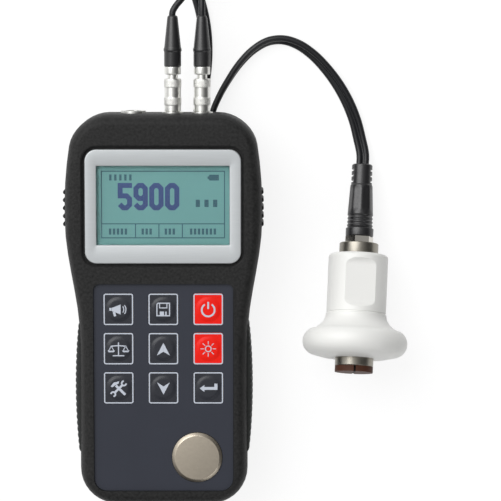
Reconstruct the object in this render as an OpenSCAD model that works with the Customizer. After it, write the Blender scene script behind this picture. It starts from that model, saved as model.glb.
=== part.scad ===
// Ultrasonic thickness gauge: a handheld instrument that lies on its back, with a twin probe lead
// on two push-pull plugs and a bell-shaped dual-element probe. Millimetres, +Z up from the table,
// +Y towards the sockets, origin under the middle of the gauge.

/* [Housing] */
// Length of the housing, without sockets
gauge_length = 150; // [145:0.5:158]
// Width of the head at its widest, without the ridges
head_width = 75.4; // [70:0.2:80]
// Width of the lower body, without the grip pads
body_width = 64.2; // [61:0.2:66]
// Height of the front rim above the table
gauge_height = 32; // [31:0.25:36]
// Radius of the two top corners, seen from the front
top_corner_r = 12.4; // [11:0.2:16]
// Radius of the two bottom corners, seen from the front
bottom_corner_r = 14; // [12:0.5:18]
// Inset of the rounding along the front rim
front_round = 4; // [3.4:0.1:4.4]
// Wall of both shells
shell_wall = 2.4; // [2:0.1:3]
// Height of the parting line, which is also the level of the sockets
parting_z = 19; // [18.5:0.1:19.6]
// Height of the head's underside, above the battery hump's face
head_lift = 6.5; // [6.2:0.1:7.4]
// Ridges on each side of the head
ridge_count = 5; // [3:1:6]
// Spacing of those ridges
ridge_pitch = 3.05; // [2.4:0.05:3.6]

/* [Battery] */
// Width of the battery hump on the back
hump_width = 51; // [49:0.5:54]
// Diameter of one cell
cell_d = 14.2; // [13.6:0.1:14.5]
// Length of one cell's can
cell_len = 49.2; // [47:0.1:49.6]
// Thickness of the battery door
door_t = 2.2; // [1.8:0.1:2.6]
// Clearance of the door in its slot
door_gap = 0.2; // [0.15:0.05:0.3]
// Travel of the door off its rails
door_travel = 60; // [20:1:70]

/* [Grip pads] */
// Length of a rubber grip pad
pad_length = 49.6; // [42:0.2:52]
// Bulge of a pad beyond the shell
pad_bulge = 1.5; // [0.8:0.1:2.2]
// Ribs along a pad
pad_ribs = 21; // [15:1:26]

/* [Display] */
// Width of the silver bezel
bezel_w = 59.3; // [56:0.2:60]
// Height of the silver bezel
bezel_h = 43.4; // [40:0.2:45]
// Middle of the bezel, below the gauge's upper end
bezel_drop = 34.9; // [34.2:0.1:35.6]
// Width of the dark groove around the bezel
bezel_groove = 1.1; // [0.8:0.1:1.5]
// Chamfer round the rim of that groove
bezel_chamfer = 0.5; // [0.3:0.1:0.7]
// Width of the opening in the bezel
view_w = 50.5; // [47:0.1:51.5]
// Height of the opening in the bezel
view_h = 30.1; // [28:0.1:31]

/* [Keypad] */
// Width of the keypad overlay
overlay_w = 53.4; // [51.5:0.1:54]
// Gap between the bezel's groove and the overlay
overlay_gap = 6.7; // [6:0.1:7.6]
// Gap between the overlay and the gauge's lower end
overlay_end = 5.7; // [5.2:0.1:6.4]
// Width of a key
key_w = 11.7; // [10:0.1:12.4]
// Bar of overlay between two key rows
key_bar = 2.6; // [2.2:0.1:3.2]
// Spacing of the key columns
key_pitch_x = 17.1; // [16:0.1:17.5]
// Gap between the overlay's upper edge and the upper keys
key_top_gap = 3.5; // [3:0.1:4]
// Clearance around each key in its window
key_gap = 0.15; // [0.1:0.05:0.25]
// Travel of a key
key_travel = 0.3; // [0.15:0.05:0.32]
// Height of the embossed dome on a key
key_crown = 0.45; // [0.3:0.05:0.6]

/* [Test disc] */
// Diameter of the steel test disc
disc_d = 19.2; // [17:0.1:20]
// Thickness of the test disc
disc_t = 4; // [3.6:0.1:4.4]
// Middle of the disc, right of the gauge's middle
disc_x = 12.8; // [12:0.1:13.4]
// Middle of the disc, above the overlay's lower edge
disc_rise = 13.1; // [12.4:0.1:13.8]

/* [Sockets and plugs] */
// Middle of the data socket, left of the gauge's middle
data_x = 11.5; // [10.8:0.1:12.4]
// Middle of the transmit socket, right of the gauge's middle
tx_x = 3.5; // [2.8:0.1:4]
// Spacing of the transmit and receive sockets
socket_pitch = 11.2; // [10.6:0.1:11.6]
// Diameter of a plug sleeve
plug_d = 6.3; // [6:0.1:6.6]
// Length of a plug sleeve
sleeve_len = 12.4; // [11.5:0.1:13]
// Travel of a plug sleeve when it unlatches
sleeve_travel = 1; // [0.6:0.1:1.2]
// Length of a plug boot
boot_len = 19.4; // [18:0.2:22]
// Bore of the data socket
data_bore_d = 5.8; // [5.4:0.1:6.2]

/* [Lead] */
// Diameter of one strand
strand_d = 2.5; // [2.3:0.1:2.6]
// Radius of the coil of spare lead at its inner turn
coil_r = 25; // [24.5:0.1:25.5]
// Turns in the coil
coil_turns = 3; // [2:1:3]

/* [Probe] */
// Diameter of the white handle's grip
handle_d = 23; // [22:0.1:24]
// Length of the handle's grip, above the crease
handle_grip_len = 23.4; // [21:0.2:26]
// Depth of the two flats milled into the grip
flat_depth = 1.6; // [1:0.1:1.9]
// Turn of those flats about the probe's axis
flat_turn = 4; // [0:1:8]
// Diameter of the handle's flange
flange_d = 40.4; // [38:0.2:41]
// Height of the flange, from its underside to the crease
flange_h = 16.8; // [16.2:0.1:17.6]
// Diameter of the steel stub
stub_d = 14.8; // [14:0.1:15]
// Length of the stub below the flange
stub_len = 5.5; // [4.6:0.1:6.5]
// Length of the moulded boot
probe_boot_len = 28.4; // [26:0.2:30]
// Lean of the probe's axis, seen from the front
probe_lean = 2.75; // [1.5:0.25:3.5]

/* [Hidden] */
eps = 0.01;
$fn = 64;

// Levels of the housing
head_half = head_width / 2;
body_half = body_width / 2;
top_y = gauge_length / 2 - 0.8;
low_y = top_y - gauge_length;
front_round_h = 7;
rear_round = 4;
rear_round_h = 5;
rim_z = gauge_height;
bezel_y = top_y - bezel_drop;
view_y = bezel_y + 0.4;
lcd_ceiling_z = rim_z - 3.5;
key_ceiling_z = rim_z - 4.8;
step_z = rim_z - 6.5;
pocket_z = rim_z - 1.7;
recess_z = rim_z - 2.6;
floor_z = head_lift + 2.2;
flare_low = -12;
flare_high = 34;
flare_top = 39;
flare_taper = 0.0035;
corner_n = 9;
side_n = 18;

// Levels of the keypad laminate, upwards from the recess floor
overlay_top = bezel_y - bezel_h / 2 - bezel_groove - overlay_gap;
overlay_h = overlay_top - low_y - overlay_end;
key_pitch_y = overlay_h / 5.29;
key_h = key_pitch_y - key_bar;
key_row_drop = key_top_gap + key_h / 2;
key_dome_r = key_h * 0.33;
key_crown_r = key_h * 0.377;
circuit_t = 0.4;
dome_h = 0.35;
overlay_z = recess_z + circuit_t;
overlay_t = 1.2;
key_t = 0.5;
key_z = overlay_z + dome_h + key_travel + 0.05;
disc_z = overlay_z + overlay_t + 1.2 - disc_t;
disc_y = overlay_top - overlay_h + disc_rise;
disc_gap = 0.12;
key_cols = [-key_pitch_x, 0, key_pitch_x];
key_rows = [for (i = [0:2]) overlay_top - key_row_drop - i * key_pitch_y];

// Battery bay, door and screws
hump_half = hump_width / 2;
hump_round = 3.4;
hump_round_h = 4.2;
hump_low = low_y + 7.6;
hump_high = 18;
hump_floor = door_t + 1.2;
door_half = 16.5;
door_tongue = 1;
door_high = -5;
door_lip = 3.2;
bay_half = cell_d + 0.6;
bay_low = hump_low + door_lip + 2.5;
contact_t = 0.5;
nub_len = 1.3;
spring_len = 4.9;
bay_high = bay_low + 2 * contact_t + cell_len + nub_len + spring_len;
bay_z = door_t + door_gap;
bay_top = bay_z + cell_d + 0.8;
bay_wall = 1.6;
cell_z = bay_z + 0.2 + cell_d / 2;
screw_low = [hump_half - 4.5, hump_low + 12.2];
screw_high = [head_half - 11.4, top_y - 12.5];
screw_spots = [screw_low, [-screw_low[0], screw_low[1]], screw_high, [-screw_high[0], screw_high[1]]];
screw_head_z = 9.9;
screw_head_r = 2.2;
screw_r = 1.2;

// Board and what stands on it
board_z = parting_z + 1.6;
board_t = 1.6;
board_top = board_z + board_t;
board_half = 17.5;
board_low = bay_low - 1;
lcd_frame_half = bezel_w / 2 - 1.15;
lcd_frame_low = bezel_y - bezel_h / 2 + 3.1;
lcd_frame_high = bezel_y + bezel_h / 2 - 2.3;
board_lcd_half = lcd_frame_half + 0.1;
board_lcd_low = lcd_frame_low - 2;
board_high = lcd_frame_high + 0.2;
post_x = board_half - 3.3;
post_low = bay_low + 17.5;
post_high = overlay_top - 0.9;
post_spots = [[post_x, post_low], [-post_x, post_low], [post_x, post_high], [-post_x, post_high]];
buzzer_y = overlay_top + 0.1;

// Sockets, plugs and strain reliefs, by distance along +Y
rx_x = tx_x + socket_pitch;
socket_r = 3.5;
flange_t = 0.4;
socket_bore_r = 2.7;
nose_r = 2.4;
core_r = 1.95;
nut_t = 2.5;
nose_y = top_y + flange_t + 0.15;
sleeve_y = nose_y + 0.15;
plug_nut_y = sleeve_y + sleeve_len + sleeve_travel + 0.6;
plug_nut_len = 3;
boot_y = plug_nut_y + plug_nut_len;
boot_end_y = boot_y + boot_len;

// Grip pads
pad_low = -5.8 - pad_length;
pad_z0 = 11.2;
pad_z1 = rim_z - 5.2;
pad_seat = body_half - 1.2;

// Probe, by distance along its axis from the wear face
wear_t = 2.3;
flange_round = 4.9;
flange_s = stub_len + 6;
crease_s = stub_len + flange_h;
handle_top_s = crease_s + handle_grip_len;
collar_t = 4.4;
gland_t = 2.5;
probe_boot_s = handle_top_s + collar_t + gland_t;
probe_end_s = probe_boot_s + probe_boot_len;
probe_tip_r = 3.9;
flange_circle_r = flange_d / 2 - flange_round;
probe_reach = probe_end_s - flange_s;
probe_tilt = asin(flange_round / norm([probe_reach, flange_circle_r - probe_tip_r]))
    + atan((flange_circle_r - probe_tip_r) / probe_reach);
table_gap = 0.05;
probe_z = flange_circle_r * cos(probe_tilt) + flange_round + flange_s * sin(probe_tilt) + table_gap;
probe_x = 72.9;
probe_y = -25.5;
probe_dir = [sin(probe_lean) * cos(probe_tilt), cos(probe_lean) * cos(probe_tilt), -sin(probe_tilt)];
cable_start = [probe_x, probe_y, probe_z] + probe_end_s * probe_dir;

// Coil of spare lead, beyond the sockets
coil_x = 33;
coil_y = 161;
coil_z = 0.6;
coil_pitch = 2.7;
twin_w = 2 * strand_d;
coil_out_r = coil_r + coil_turns * coil_pitch;
tie_w = 5;
split_dir = 63;
split_len = 14;
split_end = [33.6, 160.8];
split_z = 3.1;
split_start = [split_end[0] - split_len * cos(split_dir), split_end[1] - split_len * sin(split_dir)];

// Route points of the leads: x, y, z and the roll of the twin, 0 flat and 90 on its edge
lead_off = strand_d / 2 + 0.15;
function lead_seat(off, back) = [split_start[0] + off * sin(split_dir) - back * cos(split_dir),
    split_start[1] - off * cos(split_dir) - back * sin(split_dir), split_z, 0];
tx_route = [
    [tx_x, boot_end_y + 0.05, parting_z, 0], [tx_x, boot_end_y + 1.2, parting_z, 0],
    [4.7, 114.8, 18.8, 0], [7.2, 117.8, 18.2, 0], [9.9, 121.4, 16.6, 0], [12, 125.6, 14.2, 0],
    [13.6, 130, 11.4, 0], [15.6, 134.4, 9, 0], [18.2, 138.6, 7.3, 0], [22.4, 143, 5.6, 0], [24.7, 146, 3.8, 0],
    lead_seat(-lead_off, 1.2), lead_seat(-lead_off, 0.05)];
rx_route = [
    [rx_x, boot_end_y + 0.05, parting_z, 0], [rx_x, boot_end_y + 1.2, parting_z, 0],
    [rx_x, boot_end_y + 3.6, 18.8, 0], [14.9, 121, 17.4, 0], [16, 127, 13.4, 0], [18.5, 132.6, 9.4, 0],
    [21.7, 137.6, 7.3, 0], [25, 142, 5.6, 0], [27.3, 145.2, 3.8, 0],
    lead_seat(lead_off, 1.2), lead_seat(lead_off, 0.05)];
inner_route = [
    [split_end[0] + 0.05 * cos(split_dir), split_end[1] + 0.05 * sin(split_dir), split_z, 0],
    [split_end[0] + 1.2 * cos(split_dir), split_end[1] + 1.2 * sin(split_dir), split_z, 4],
    [35.1, 164.4, split_z, 30], [35.6, 168.6, 3.1, 70], [34.4, 173, 3.1, 90], [30.8, 176.6, 3.1, 90],
    [26, 178, 3.1, 90], [21, 177.2, 3.1, 90], [16.6, 174.6, 3.1, 90]];
twin_route = [
    [1.4, 149.6, 3.1, 90], [4.4, 141.4, 3, 80], [7.2, 133.8, 2.7, 56], [9.8, 126.4, 2, 24],
    [12.3, 119.6, 1.4, 4], [14.2, 113, 1.3, 0], [15.5, 106, 1.3, 0], [16, 99, 1.3, 0], [15.8, 92, 1.3, 0],
    [15, 85.5, 1.4, 8], [13.9, 79, 1.9, 36], [12.6, 73, 2.4, 66], [10.8, 66, 2.6, 86],
    [8.2, 58.6, 2.6, 90], [5.8, 51.4, 2.6, 90], [5, 44.6, 2.6, 90], [6.8, 38.4, 2.6, 90],
    [11.2, 34.4, 2.6, 90], [16.8, 33.6, 2.6, 90], [21.8, 36.2, 2.6, 90], [24.4, 41.2, 2.6, 90],
    [24.2, 47.4, 2.6, 90], [22.2, 54, 2.6, 90], [19.6, 60.4, 2.6, 90], [18, 66.6, 2.6, 90],
    [18.4, 73, 2.6, 90], [20.8, 79.2, 2.6, 88], [24.6, 86, 2.6, 84], [29.2, 92.6, 2.6, 78],
    [34.4, 97.8, 2.6, 72], [40, 101, 2.6, 66], [45.8, 101.6, 2.5, 60], [51.6, 99.8, 2.5, 53],
    [57.4, 95.8, 2.4, 46], [62.6, 90.4, 2.3, 38], [67.2, 84.2, 2.1, 30], [71, 77.4, 1.9, 21],
    [73.8, 70.4, 1.7, 12], [75.6, 63.4, 1.9, 4],
    cable_start + 4 * probe_dir, cable_start];

// Outline of the housing: half width at a height, and a ring of points set in by a distance
function ease(u) = u <= 0 ? 0 : u >= 1 ? 1 : u * u * (3 - 2 * u);
function half_w(y) = body_half + (head_half - body_half) * ease((y - flare_low) / (flare_high - flare_low))
    - flare_taper * pow(max(0, y - flare_top), 2);
function right_side(i) = let (rb = bottom_corner_r - i, rt = top_corner_r - i, yb = low_y + i, yt = top_y - i)
    concat(
        [for (a = [0:corner_n]) let (t = a * 90 / corner_n, y = yb + rb * (1 - cos(t)))
            [half_w(y) - i - rb * (1 - sin(t)), y]],
        [for (k = [1:side_n - 1]) let (y = yb + rb + (yt - rt - yb - rb) * k / side_n) [half_w(y) - i, y]],
        [for (a = [0:corner_n]) let (t = a * 90 / corner_n, y = yt - rt + rt * sin(t))
            [half_w(y) - i - rt * (1 - cos(t)), y]]);
function ring(i) = let (r = right_side(i), n = len(r))
    concat(r, [for (k = [n - 1:-1:0]) [-r[k][0], r[k][1]]]);
function hump_side(i) = let (r = 8 - i, c = hump_half - 8) concat(
    [for (a = [0:corner_n]) let (t = a * 90 / corner_n) [c + r * sin(t), hump_low + 8 - r * cos(t)]],
    [for (k = [1:side_n - 1]) [c + r, hump_low + 8 + (hump_high - hump_low - 16) * k / side_n]],
    [for (a = [0:corner_n]) let (t = a * 90 / corner_n) [c + r * cos(t), hump_high - 8 + r * sin(t)]]);
function hump_ring(i) = let (r = hump_side(i), n = len(r))
    concat(r, [for (k = [n - 1:-1:0]) [-r[k][0], r[k][1]]]);

// Solid through a stack of rings with the same number of points
module skin(rings, levels) {
    n = len(rings[0]);
    m = len(rings);
    polyhedron(
        points = [for (j = [0:m - 1], p = rings[j]) [p[0], p[1], levels[j]]],
        faces = concat(
            [[for (i = [0:n - 1]) i]],
            [for (j = [0:m - 2], i = [0:n - 1]) [j * n + i, (j + 1) * n + i, (j + 1) * n + (i + 1) % n]],
            [for (j = [0:m - 2], i = [0:n - 1]) [j * n + i, (j + 1) * n + (i + 1) % n, j * n + (i + 1) % n]],
            [[for (i = [n - 1:-1:0]) (m - 1) * n + i]]),
        convexity = 4);
}
function plate_ring(w, y0, y1, r) = [for (c = [[1, y0 + r, -90], [1, y1 - r, 0], [-1, y1 - r, 90], [-1, y0 + r, 180]],
    a = [0:corner_n]) let (t = c[2] + a * 90 / corner_n) [c[0] * (w / 2 - r) + r * cos(t), c[1] + r * sin(t)]];
module rim_chamfer(w, y0, y1, r, c) {
    skin([plate_ring(w - 0.3, y0 + 0.15, y1 - 0.15, r - 0.15),
        plate_ring(w + 2 * c + 0.4, y0 - c - 0.2, y1 + c + 0.2, r + c + 0.2)], [rim_z - c - 0.15, rim_z + 0.2]);
}
module prism(points, z0, z1) { translate([0, 0, z0]) linear_extrude(z1 - z0) polygon(points); }
module block(x0, x1, y0, y1, z0, z1) { translate([x0, y0, z0]) cube([x1 - x0, y1 - y0, z1 - z0]); }
module post(x, y, r, z0, z1) { translate([x, y, z0]) cylinder(r = r, h = z1 - z0); }
module rod_y(x, r, y0, y1) { translate([x, y0, parting_z]) rotate([-90, 0, 0]) cylinder(r = r, h = y1 - y0); }

// Plate with rounded corners, upper and lower pair of their own radius
module plate(w, y0, y1, rt, rb, z0, z1) {
    h = w / 2;
    prism([[h, y0 + rb], [h, y1 - rt], [h - rt, y1], [rt - h, y1], [-h, y1 - rt], [-h, y0 + rb],
        [rb - h, y0], [h - rb, y0]], z0, z1);
    for (s = [-1, 1]) {
        post(s * (h - rt), y1 - rt, rt, z0, z1);
        post(s * (h - rb), y0 + rb, rb, z0, z1);
    }
}
module dome(x, y, z, r, h) {
    big = (r * r + h * h) / (2 * h);
    translate([x, y, z]) rotate_extrude()
        polygon(concat([[0, 0], [r, 0]], [for (k = [4:-1:0]) let (q = r * k / 5) [q, h - big + sqrt(big * big - q * q)]]));
}

// Housing
module ridges(z0, z1) {
    for (s = [-1, 1], k = [0:ridge_count - 1])
        let (y = 38.3 + (k - (ridge_count - 1) / 2) * ridge_pitch)
            post(s * (half_w(y) - 0.3), y, 0.9, z0, z1);
}
module pad_pockets() {
    for (s = [-1, 1])
        mirror([s == 1 ? 0 : 1, 0, 0])
            block(pad_seat, body_half + 9, pad_low, pad_low + pad_length, pad_z0, pad_z1);
}
module socket_holes() {
    rod_y(tx_x, socket_r + 0.1, top_y - 8, top_y + 5);
    rod_y(rx_x, socket_r + 0.1, top_y - 8, top_y + 5);
    rod_y(-data_x, socket_r + 0.5, top_y - 8, top_y + 5);
}
module front_housing() {
    color([0.10, 0.10, 0.11])
    difference() {
        union() {
            difference() {
                skin(concat([ring(0)], [for (k = [0:6]) ring(front_round * (1 - cos(k * 15)))], [ring(front_round)]),
                    concat([parting_z], [for (k = [0:6]) rim_z - front_round_h * (1 - sin(k * 15))], [rim_z + 1]));
                block(-60, 60, -90, 90, rim_z, rim_z + 2);
                prism(ring(shell_wall), parting_z - 1, step_z);
                intersection() {
                    prism(ring(shell_wall + 2.4), step_z - 1, lcd_ceiling_z);
                    block(-50, 50, overlay_top + 1.5, 80, step_z - 1, lcd_ceiling_z);
                }
                intersection() {
                    prism(ring(shell_wall + 2.4), step_z - 1, key_ceiling_z);
                    block(-50, 50, -80, overlay_top + 2, step_z - 1, key_ceiling_z);
                }
            }
            for (p = [screw_low, [-screw_low[0], screw_low[1]]]) post(p[0], p[1], 3, parting_z, key_ceiling_z + 1);
            for (p = [screw_high, [-screw_high[0], screw_high[1]]]) post(p[0], p[1], 3, parting_z, lcd_ceiling_z + 1);
            for (p = post_spots) post(p[0], p[1], 2, board_top + 0.05, key_ceiling_z + 1);
            post(disc_x, disc_y, disc_d / 2 + 2, disc_z - 2, key_ceiling_z + 1);
            ridges(parting_z, rim_z - 6);
        }
        plate(bezel_w + 2 * bezel_groove, bezel_y - bezel_h / 2 - bezel_groove,
            bezel_y + bezel_h / 2 + bezel_groove, 5.6, 5.6, pocket_z, rim_z + 1);
        rim_chamfer(bezel_w + 2 * bezel_groove, bezel_y - bezel_h / 2 - bezel_groove,
            bezel_y + bezel_h / 2 + bezel_groove, 5.6, bezel_chamfer);
        block(-view_w / 2 - 1.2, view_w / 2 + 1.2, view_y - view_h / 2 - 1, view_y + view_h / 2 + 1,
            lcd_ceiling_z - 1, pocket_z + 1);
        plate(overlay_w, overlay_top - overlay_h, overlay_top, 2.3, 5, recess_z, rim_z + 1);
        post(disc_x, disc_y, disc_d / 2 + disc_gap, disc_z, rim_z + 2);
        for (p = screw_spots) post(p[0], p[1], screw_r + 0.1, parting_z - 1, parting_z + 7);
        socket_holes();
        pad_pockets();
    }
}
module rear_housing() {
    color([0.09, 0.09, 0.10])
    difference() {
        union() {
            difference() {
                skin(concat([for (k = [0:4]) hump_ring(hump_round * (1 - sin(k * 22.5)))], [hump_ring(0)],
                        [for (k = [0:4]) ring(rear_round * (1 - sin(k * 22.5)))], [ring(0)]),
                    concat([for (k = [0:4]) hump_round_h * (1 - cos(k * 22.5))], [head_lift],
                        [for (k = [0:4]) head_lift + rear_round_h * (1 - cos(k * 22.5))], [parting_z]));
                prism(ring(shell_wall + 1), floor_z, parting_z + 1);
                prism(ring(shell_wall), head_lift + rear_round_h, parting_z + 1);
                prism(hump_ring(shell_wall), hump_floor, floor_z + 1);
            }
            difference() {
                block(-bay_half - bay_wall, bay_half + bay_wall, bay_low - bay_wall, bay_high + bay_wall,
                    hump_floor - 0.5, bay_top + bay_wall);
                block(-door_half - door_tongue - door_gap, door_half + door_tongue + door_gap, -90, door_high,
                    -1, hump_floor - 0.4);
            }
            for (p = [screw_low, [-screw_low[0], screw_low[1]]]) post(p[0], p[1], 3.6, hump_floor - 1, parting_z);
            for (p = [screw_high, [-screw_high[0], screw_high[1]]]) post(p[0], p[1], 3.6, floor_z - 1, parting_z);
            ridges(head_lift + rear_round_h + 0.5, parting_z);
        }
        block(-bay_half, bay_half, bay_low, bay_high, -1, bay_top);
        block(-door_half - door_gap, door_half + door_gap, -90, door_high + door_gap, -1, bay_z);
        block(-door_half - door_tongue - door_gap, door_half + door_tongue + door_gap, -90, door_high + door_gap,
            door_t / 2, bay_z);
        block(-door_half - door_gap, door_half + door_gap, -90, hump_low + door_lip + door_gap, -1, head_lift - 0.1);
        for (p = screw_spots) {
            post(p[0], p[1], screw_head_r + 0.3, -1, screw_head_z);
            post(p[0], p[1], screw_r + 0.15, screw_head_z - 1, parting_z + 1);
        }
        socket_holes();
        pad_pockets();
    }
}
module battery_door() {
    color([0.10, 0.10, 0.11])
    difference() {
        union() {
            intersection() {
                skin(concat([for (k = [0:4]) hump_ring(hump_round * (1 - sin(k * 22.5)))], [hump_ring(0)]),
                    concat([for (k = [0:4]) hump_round_h * (1 - cos(k * 22.5))], [head_lift]));
                union() {
                    block(-door_half, door_half, -90, door_high, -1, door_t);
                    block(-door_half, door_half, -90, hump_low + door_lip, -1, head_lift - 0.4);
                }
            }
            block(-door_half - door_tongue, door_half + door_tongue, hump_low + 6, door_high,
                door_t / 2 + 0.15, door_t);
        }
        for (k = [0:4]) block(-8, 8, hump_low + 8 + 2.4 * k, hump_low + 9.2 + 2.4 * k, -1, 0.4);
    }
}

// Rubber pad in the side of both shells: ribs in plan, a half-round section upright
module grip_pad() {
    n = pad_ribs * 4;
    intersection() {
        prism(concat([[pad_seat, pad_low], [pad_seat, pad_low + pad_length]],
            [for (k = [n:-1:0]) let (u = k / n)
                [body_half + 0.1 + pad_bulge * pow(sin(180 * u), 0.7) + 0.22 * (1 - cos(360 * pad_ribs * u)),
                    pad_low + pad_length * u]]), pad_z0, pad_z1);
        translate([0, pad_low + pad_length, 0]) rotate([90, 0, 0]) linear_extrude(pad_length)
            polygon(concat([[pad_seat - 1, pad_z0], [body_half - 0.2, pad_z0]],
                [for (k = [0:12]) let (t = -90 + 15 * k)
                    [body_half - 0.2 + (pad_bulge + 1) * cos(t), (pad_z0 + pad_z1) / 2 + (pad_z1 - pad_z0) / 2
                        * (abs(t) == 90 ? sign(t) : sign(t) * pow(abs(sin(t)), 0.6))]],
                [[body_half - 0.2, pad_z1], [pad_seat - 1, pad_z1]]));
    }
}
module grip_right() { color([0.20, 0.22, 0.21]) grip_pad(); }
module grip_left() { color([0.20, 0.22, 0.21]) mirror([1, 0, 0]) grip_pad(); }

// Display
module lcd_bezel() {
    color([0.78, 0.79, 0.80])
    difference() {
        union() {
            plate(bezel_w, bezel_y - bezel_h / 2, bezel_y + bezel_h / 2, 4.5, 4.5, pocket_z, rim_z - 0.7);
            plate(bezel_w - 0.8, bezel_y - bezel_h / 2 + 0.4, bezel_y + bezel_h / 2 - 0.4, 4.1, 4.1,
                rim_z - 0.8, rim_z - 0.3);
        }
        block(-view_w / 2, view_w / 2, view_y - view_h / 2, view_y + view_h / 2, pocket_z - 1, rim_z + 1);
    }
}
module lcd_window() {
    color([0.75, 0.85, 0.85, 0.4])
        block(-view_w / 2 - 1, view_w / 2 + 1, view_y - view_h / 2 - 0.8, view_y + view_h / 2 + 0.8,
            pocket_z - 1, pocket_z);
}
module lcd_module() {
    color([0.47, 0.66, 0.64])
    union() {
        block(-lcd_frame_half, lcd_frame_half, lcd_frame_low, lcd_frame_high, board_top, lcd_ceiling_z - 0.1);
        block(-view_w / 2 - 0.6, view_w / 2 + 0.6, view_y - view_h / 2 - 0.6, view_y + view_h / 2 + 0.6,
            lcd_ceiling_z - 0.2, pocket_z - 1.1);
    }
}
module main_board() {
    color([0.10, 0.35, 0.18])
    union() {
        block(-board_half, board_half, board_low, board_lcd_low + 1, board_z, board_top);
        block(-board_lcd_half, board_lcd_half, board_lcd_low, board_high, board_z, board_top);
    }
}
module buzzer() {
    color([0.08, 0.08, 0.08])
    difference() {
        post(-4, buzzer_y, 4.6, board_top, board_top + 3.6);
        post(-4, buzzer_y, 1, board_top + 2.6, board_top + 5);
    }
}

// Keypad laminate
module keypad_circuit() {
    color([0.75, 0.60, 0.30])
    difference() {
        plate(overlay_w - 0.3, overlay_top - overlay_h + 0.15, overlay_top - 0.15, 2.2, 4.9, recess_z, overlay_z);
        post(disc_x, disc_y, disc_d / 2 + disc_gap, recess_z - 1, overlay_z + 1);
    }
}
module key_domes() {
    color([0.80, 0.80, 0.78])
        for (x = key_cols, y = key_rows) dome(x, y, overlay_z, key_dome_r, dome_h);
}
module keypad_overlay() {
    color([0.22, 0.25, 0.30])
    difference() {
        plate(overlay_w - 0.2, overlay_top - overlay_h + 0.1, overlay_top - 0.1, 2.2, 4.9, overlay_z, overlay_z + overlay_t);
        for (x = key_cols, y = key_rows)
            translate([x, 0, 0]) plate(key_w, y - key_h / 2, y + key_h / 2, 1.4, 1.4, overlay_z - 1, overlay_z + 3);
        post(disc_x, disc_y, disc_d / 2 + disc_gap, overlay_z - 1, overlay_z + 3);
    }
}
module key(col, row) {
    x = key_cols[col];
    y = key_rows[row];
    union() {
        translate([x, 0, 0]) plate(key_w - 2 * key_gap, y - key_h / 2 + key_gap, y + key_h / 2 - key_gap,
            1.25, 1.25, key_z, key_z + key_t);
        dome(x, y, key_z + key_t, key_crown_r, key_crown);
    }
}
module key_sound() { color([0.22, 0.25, 0.30]) key(0, 0); }
module key_save() { color([0.22, 0.25, 0.30]) key(1, 0); }
module key_power() { color([0.92, 0.18, 0.12]) key(2, 0); }
module key_balance() { color([0.22, 0.25, 0.30]) key(0, 1); }
module key_up() { color([0.22, 0.25, 0.30]) key(1, 1); }
module key_light() { color([0.92, 0.18, 0.12]) key(2, 1); }
module key_tools() { color([0.22, 0.25, 0.30]) key(0, 2); }
module key_down() { color([0.22, 0.25, 0.30]) key(1, 2); }
module key_enter() { color([0.22, 0.25, 0.30]) key(2, 2); }
module test_disc() {
    color([0.72, 0.70, 0.66])
    union() {
        post(disc_x, disc_y, disc_d / 2, disc_z, disc_z + disc_t - 0.6);
        translate([disc_x, disc_y, disc_z + disc_t - 0.6]) cylinder(r1 = disc_d / 2, r2 = disc_d / 2 - 0.9, h = 0.6);
    }
}

// Cells and contacts
module cell(x, y0, up) {
    translate([x, y0, cell_z]) rotate([-90, 0, 0]) cylinder(d = cell_d, h = cell_len);
    translate([x, up ? y0 + cell_len : y0 - nub_len, cell_z]) rotate([-90, 0, 0]) cylinder(r = 2.7, h = nub_len);
}
module battery_left() {
    color([0.20, 0.35, 0.60]) union() { cell(-cell_d / 2 - 0.2, bay_low + contact_t + spring_len, true); }
}
module battery_right() {
    color([0.20, 0.35, 0.60]) union() { cell(cell_d / 2 + 0.2, bay_low + contact_t + nub_len, false); }
}
module spring(x, y0) {
    translate([x, y0, cell_z]) rotate([-90, 0, 0])
    union() {
        for (k = [0:3]) translate([0, 0, 0.4 + k * (spring_len - 0.8) / 3])
            rotate_extrude() translate([4.4 - 0.5 * k, 0]) square([0.8, 0.8], center = true);
        translate([3, -0.4, 0]) cube([1.6, 0.8, spring_len]);
    }
}
module battery_springs() {
    color([0.75, 0.75, 0.74]) {
        spring(-cell_d / 2 - 0.2, bay_low + contact_t);
        spring(cell_d / 2 + 0.2, bay_high - contact_t - spring_len);
    }
}
module battery_plates() {
    color([0.75, 0.75, 0.74]) {
        block(-bay_half + 0.4, bay_half - 0.4, bay_low, bay_low + contact_t, cell_z - 5.5, cell_z + 5.5);
        for (s = [-1, 1]) translate([s * (cell_d / 2 + 0.2), 0, 0])
            block(-5.5, 5.5, bay_high - contact_t, bay_high, cell_z - 5.5, cell_z + 5.5);
    }
}
module housing_screws() {
    color([0.60, 0.60, 0.62])
    for (p = screw_spots)
        difference() {
            union() {
                post(p[0], p[1], screw_head_r, screw_head_z - 1.8, screw_head_z);
                post(p[0], p[1], screw_r, screw_head_z - 0.5, parting_z + 6);
            }
            block(p[0] - 1.4, p[0] + 1.4, p[1] - 0.3, p[1] + 0.3, screw_head_z - 3, screw_head_z - 0.9);
            block(p[0] - 0.3, p[0] + 0.3, p[1] - 1.4, p[1] + 1.4, screw_head_z - 3, screw_head_z - 0.9);
        }
}

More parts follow.
